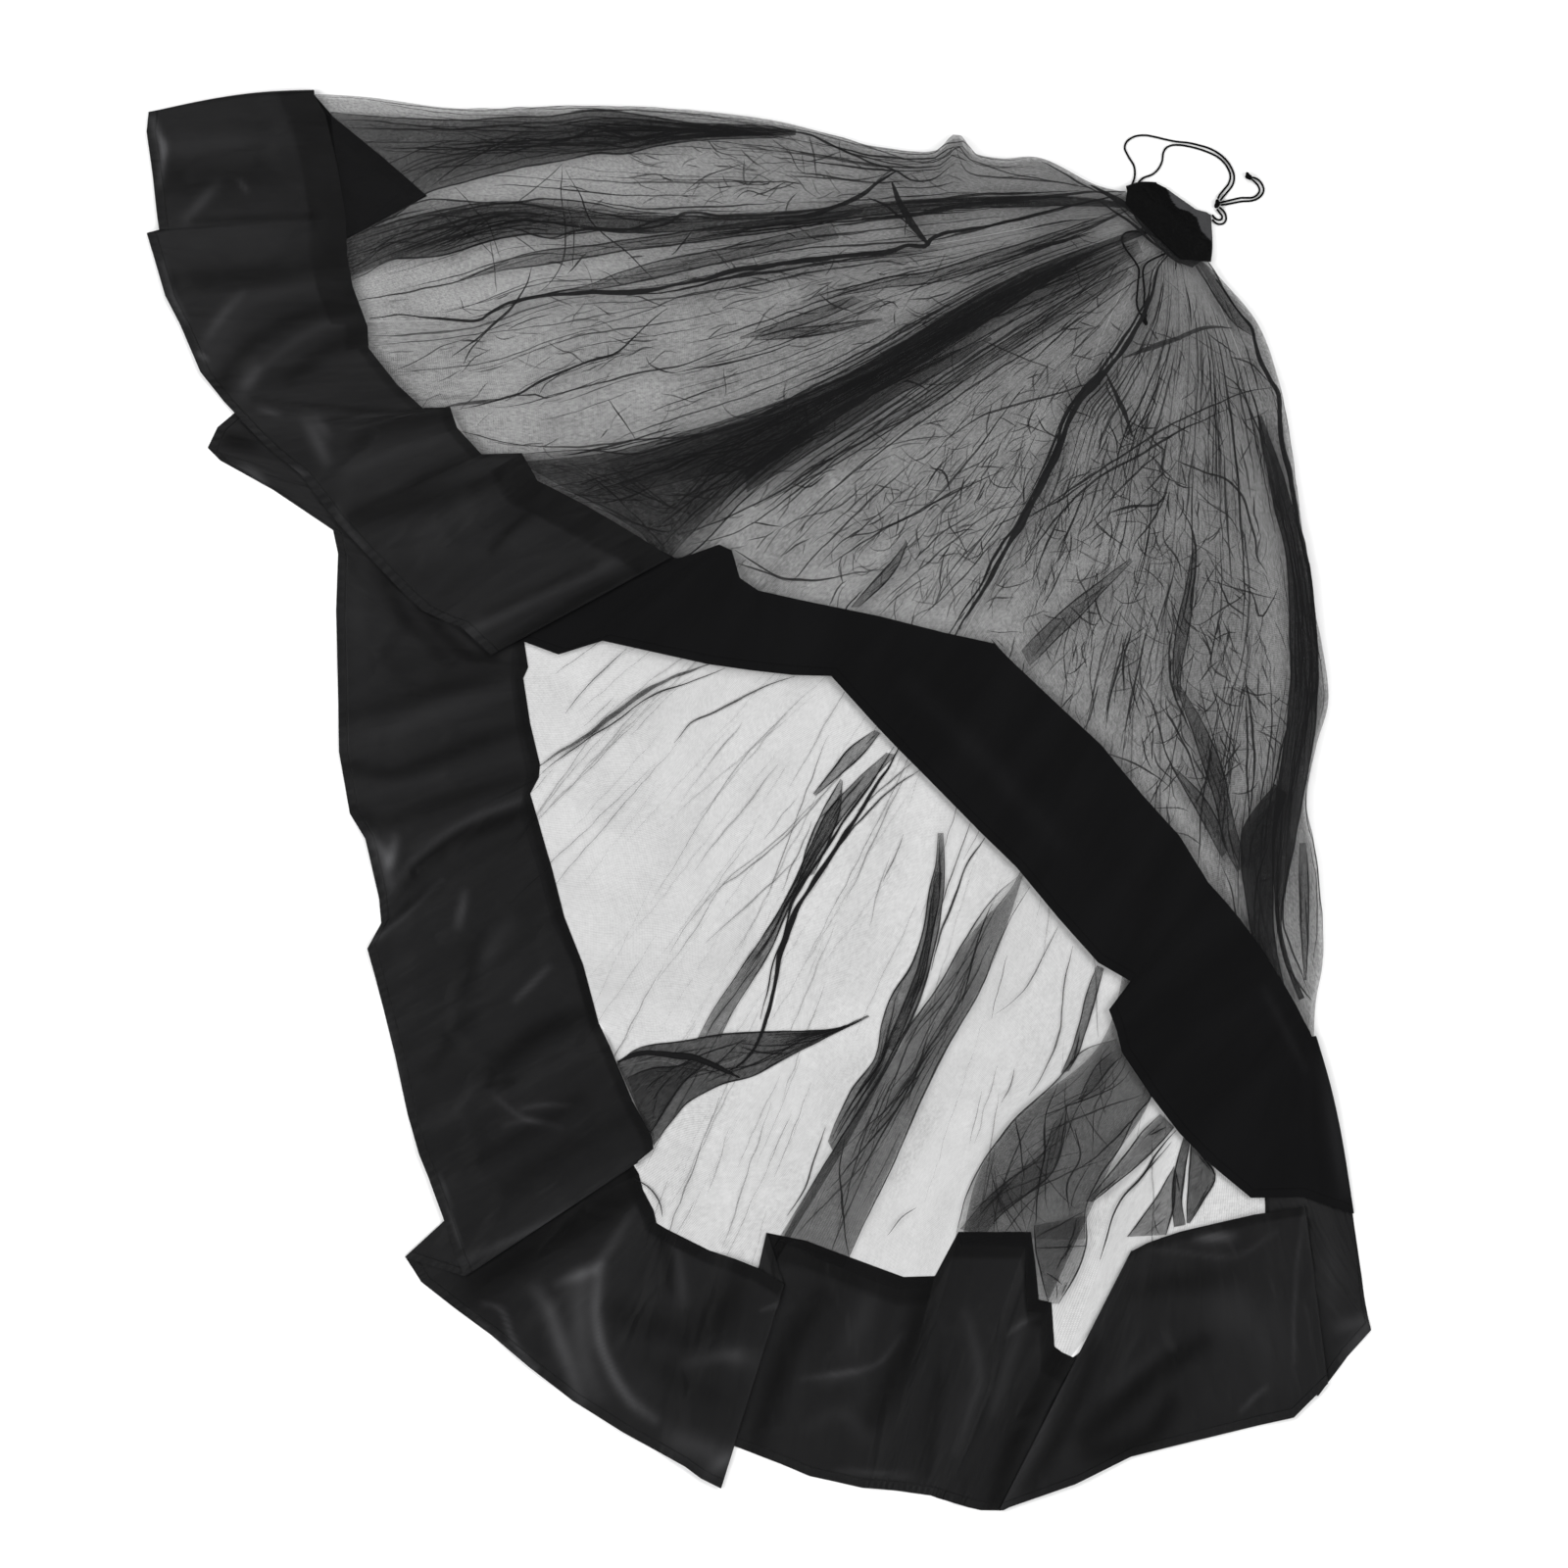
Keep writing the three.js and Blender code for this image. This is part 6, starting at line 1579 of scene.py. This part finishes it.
band_stops = [band_stop(row) for row in [*FRONT_BAND, *BACK_BAND]]
TURN_RIBS = 4
band_grid, follows = eased_columns(turned_ribs(band_stops, TURN_RIBS), BAND_COLUMN)
row_of_rib = np.concatenate([[i] * TURN_RIBS + [i + 1] if "turned" in stop else [i]
                             for i, stop in enumerate(band_stops)])
names, firsts = zip(*LENGTHS)
column_length = np.searchsorted(firsts, row_of_rib[follows], side="right") - 1
columns = len(band_grid)
points = band_grid.reshape(-1, 3).copy()
middle = band_grid[:, BAND_ROWS // 2]
band_run = run_length(np.vstack([middle, middle[:1]]))[:-1]
width = np.linalg.norm(band_grid[:, -1] - band_grid[:, 0], axis=1)
v = np.tile(V, columns)
inner = v * np.repeat(width, BAND_ROWS)
length_of = np.repeat(column_length, BAND_ROWS)
seam_width = np.repeat(np.interp(row_of_rib[follows], *zip(*SEAM_WIDTHS)), BAND_ROWS)
stops = -SEAM_DARKER * np.where(seam_width > 0, 1 - smooth((inner - seam_width) / 0.004 + 0.5), 0)
# Painted highlights and painted shade of the satin's folds, in stops, added to the seam's
# darkening; they also shape the relief below.
for name, half_width, painted_sheen_stops, line in SATIN_FOLDS_AND_PAINTED_SHEEN:
    fold = along(centripetal(plan(line)[:, :2], 12), np.linspace(0, 1, 40))
    reach = 2.5 * half_width * PLAN_UNIT
    near = (points[:, :2] > fold.min(axis=0) - reach) & (points[:, :2] < fold.max(axis=0) + reach)
    near = near.all(axis=1) & (length_of == names.index(name))
    away = np.linalg.norm(points[near, None, :2] - fold[None], axis=2)
    taper = np.sin(math.pi * np.linspace(0.12, 0.88, 40)) ** 0.5
    fade = np.exp(-(away.min(axis=1) / (half_width * PLAN_UNIT)) ** 2)
    stops[near] += painted_sheen_stops * fade * taper[away.argmin(axis=1)]
stops = np.clip(stops, *STOPS)
raised = points[:, 2] > 3.5 * MM
relief = lattice_noise(np.repeat(band_run, BAND_ROWS) * 14, v * 1.6) * 1.3
relief += lattice_noise(points[:, 0] * 24, points[:, 1] * 24, 2.0) * 0.5
relief = (relief + FOLD_RISE * np.clip(stops, -1, 1.5)) * smooth((v - 0.06) / 0.2)
points[:, 2] += np.where(raised, relief, np.abs(relief)) * MM
points[:, 2] = np.maximum(points[:, 2], 0.4 * MM)
band = np.stack([np.repeat(band_run, BAND_ROWS), inner, (1 - v) * np.repeat(width, BAND_ROWS)],
                axis=1)
faces = grid_faces(columns, BAND_ROWS, ring=True)
matt = length_of[faces[:, 0]] == names.index("matt")
# The light attribute scales the band's colour: the painted highlights and painted shade of its
# folds, and the darker seam.
border_part = {"points": points, "faces": faces, "band": band,
               "light": 2.0**(PAINTED_SHEEN_GAIN * stops), "slot": matt.astype(int)}
border = make_piece("border_cloth", [border_part], [taffeta, taffeta_matt],
                    {"band": 3, "light": 1})
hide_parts("border")
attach(border, "root")

# Cap: a flattened tube of cloth over the gathered neck, open at its mouth.
# Columns: mouth x, y, middle x, y, tip x, y, and the heights of the upper layer there.
CAP_RIBS = [
    [1150, 194.5, 1164, 190, 1180, 187.5, 11.3, 10.3, 4],
    [1148, 209, 1169, 202, 1189, 192, 13.4, 13, 4.4],
    [1160, 222, 1183, 212, 1200, 200, 13.6, 13.4, 4.4],
    [1181, 243, 1202, 229, 1220, 214, 13.6, 13.4, 4.4],
    [1204, 265, 1219, 247, 1231, 217, 13.4, 13, 4.4],
    [1231, 267, 1233, 252, 1234, 219, 11, 10, 4],
]
CAP_ROWS = 40
CAP_FLOOR = 0.6
cap_look = cap_material()


def cap_rib(row, upper):
    """A rib of the cap from its mouth to its tip, on its upper or its lower layer."""
    mx, my, cx, cy, tx, ty, mouth, middle_height, tip = row
    heights = (mouth, middle_height, tip) if upper else (CAP_FLOOR,) * 3
    line = centripetal(plan([(mx, my, heights[0]), (cx, cy, heights[1]), (tx, ty, heights[2])]), 20)
    return along(line, np.linspace(0, 1, CAP_ROWS))


cap_stops = [{"points": cap_rib(row, True)} for row in CAP_RIBS[1:]]
cap_stops[-1]["turned"] = cap_rib(CAP_RIBS[-1], False)
cap_stops += [{"points": cap_rib(row, False)} for row in CAP_RIBS[-2::-1]]
cap_stops[-1]["turned"] = cap_rib(CAP_RIBS[0], True)
cap_grid, _ = eased_columns(turned_ribs(cap_stops, 6), 0.002)
points = cap_grid.reshape(-1, 3).copy()
cloth = points.copy()
# The cap is sheer beyond this line.
GATHERED_END = plan([(1185, 190), (1191, 193), (1195, 205), (1201, 213), (1212, 216),
                     (1221, 223), (1225, 236), (1235, 246), (1240, 250)])
edge_line = along(GATHERED_END, np.linspace(0, 1, 120))
nearest = np.linalg.norm(points[:, None, :2] - edge_line[None, :, :2], axis=2).argmin(axis=1)
ahead = np.gradient(edge_line, axis=0)[nearest]
offset = points - edge_line[nearest]
beyond = ahead[:, 0] * offset[:, 1] - ahead[:, 1] * offset[:, 0]
sheer = np.where(beyond > 0, 1.0, 0.0)
upper = points[:, 2] > 2.5 * MM
crumple = lattice_noise(points[:, 0] * 70, points[:, 1] * 70) * 1.2
points[:, 2] += np.where(upper, crumple, 0) * MM
cap_part = {"points": points, "faces": grid_faces(len(cap_grid), CAP_ROWS, ring=True),
            "cloth": cloth, "sheer": sheer}
cap = make_piece("cap_cloth", [cap_part], [cap_look], {"cloth": 3, "sheer": 1})
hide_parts("cap")
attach(cap, "root")

# Floor and light.
FLOOR_SIZE = 24.0
FLOOR_BELOW = 0.0002


def floor_material():
    g = Graph("floor_paper")
    speck, _ = g.noise(g.add("ShaderNodeTexCoord").outputs["Object"], 40, 3.0)
    g.set(Base_Color=g.mix(speck, (0.86, 0.86, 0.86, 1), (0.9, 0.9, 0.9, 1)), Roughness=0.9,
          Specular_IOR_Level=0.0)
    return g.material


corners = np.array([(-1, -1, 0), (1, -1, 0), (1, 1, 0), (-1, 1, 0)]) * FLOOR_SIZE / 2
floor_part = {"points": corners, "faces": np.array([[0, 1, 2, 3]])}
floor = make_piece("floor", [floor_part], [floor_material()], {})
floor.location.z = -FLOOR_BELOW
floor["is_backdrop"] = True

# Name, place, where it points, width and height, power.
LIGHTS = [
    ("softbox_left", (-2.9, 0.3, 2.7), (0, 0, 0), (2.4, 2.4), 108),
    ("softbox_right", (2.9, 0.1, 2.7), (0, 0, 0), (2.4, 2.4), 92),
    ("softbox_far", (0.2, 3.0, 2.8), (0, 0, 0), (2.6, 2.0), 64),
    ("softbox_near", (-0.2, -3.0, 2.8), (0, 0, 0), (2.6, 2.0), 64),
]
for name, place, aim, (width, height), power in LIGHTS:
    data = bpy.data.lights.new(name, "AREA")
    data.shape = "RECTANGLE"
    data.size, data.size_y, data.energy = width, height, power
    light = bpy.data.objects.new(name, data)
    light.location = place
    light.rotation_euler = (Vector(aim) - Vector(place)).to_track_quat("-Z", "Y").to_euler()
    scene.collection.objects.link(light)

world = bpy.data.worlds.new("studio")
world.use_nodes = True
world.node_tree.nodes["Background"].inputs["Color"].default_value = (1, 1, 1, 1)
world.node_tree.nodes["Background"].inputs["Strength"].default_value = 0.12
scene.world = world

scene.view_settings.view_transform = "Standard"
scene.view_settings.look = "None"
scene.cycles.transparent_max_bounces = 40
scene.cycles.max_bounces = 3
scene.cycles.diffuse_bounces = 1

low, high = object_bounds()
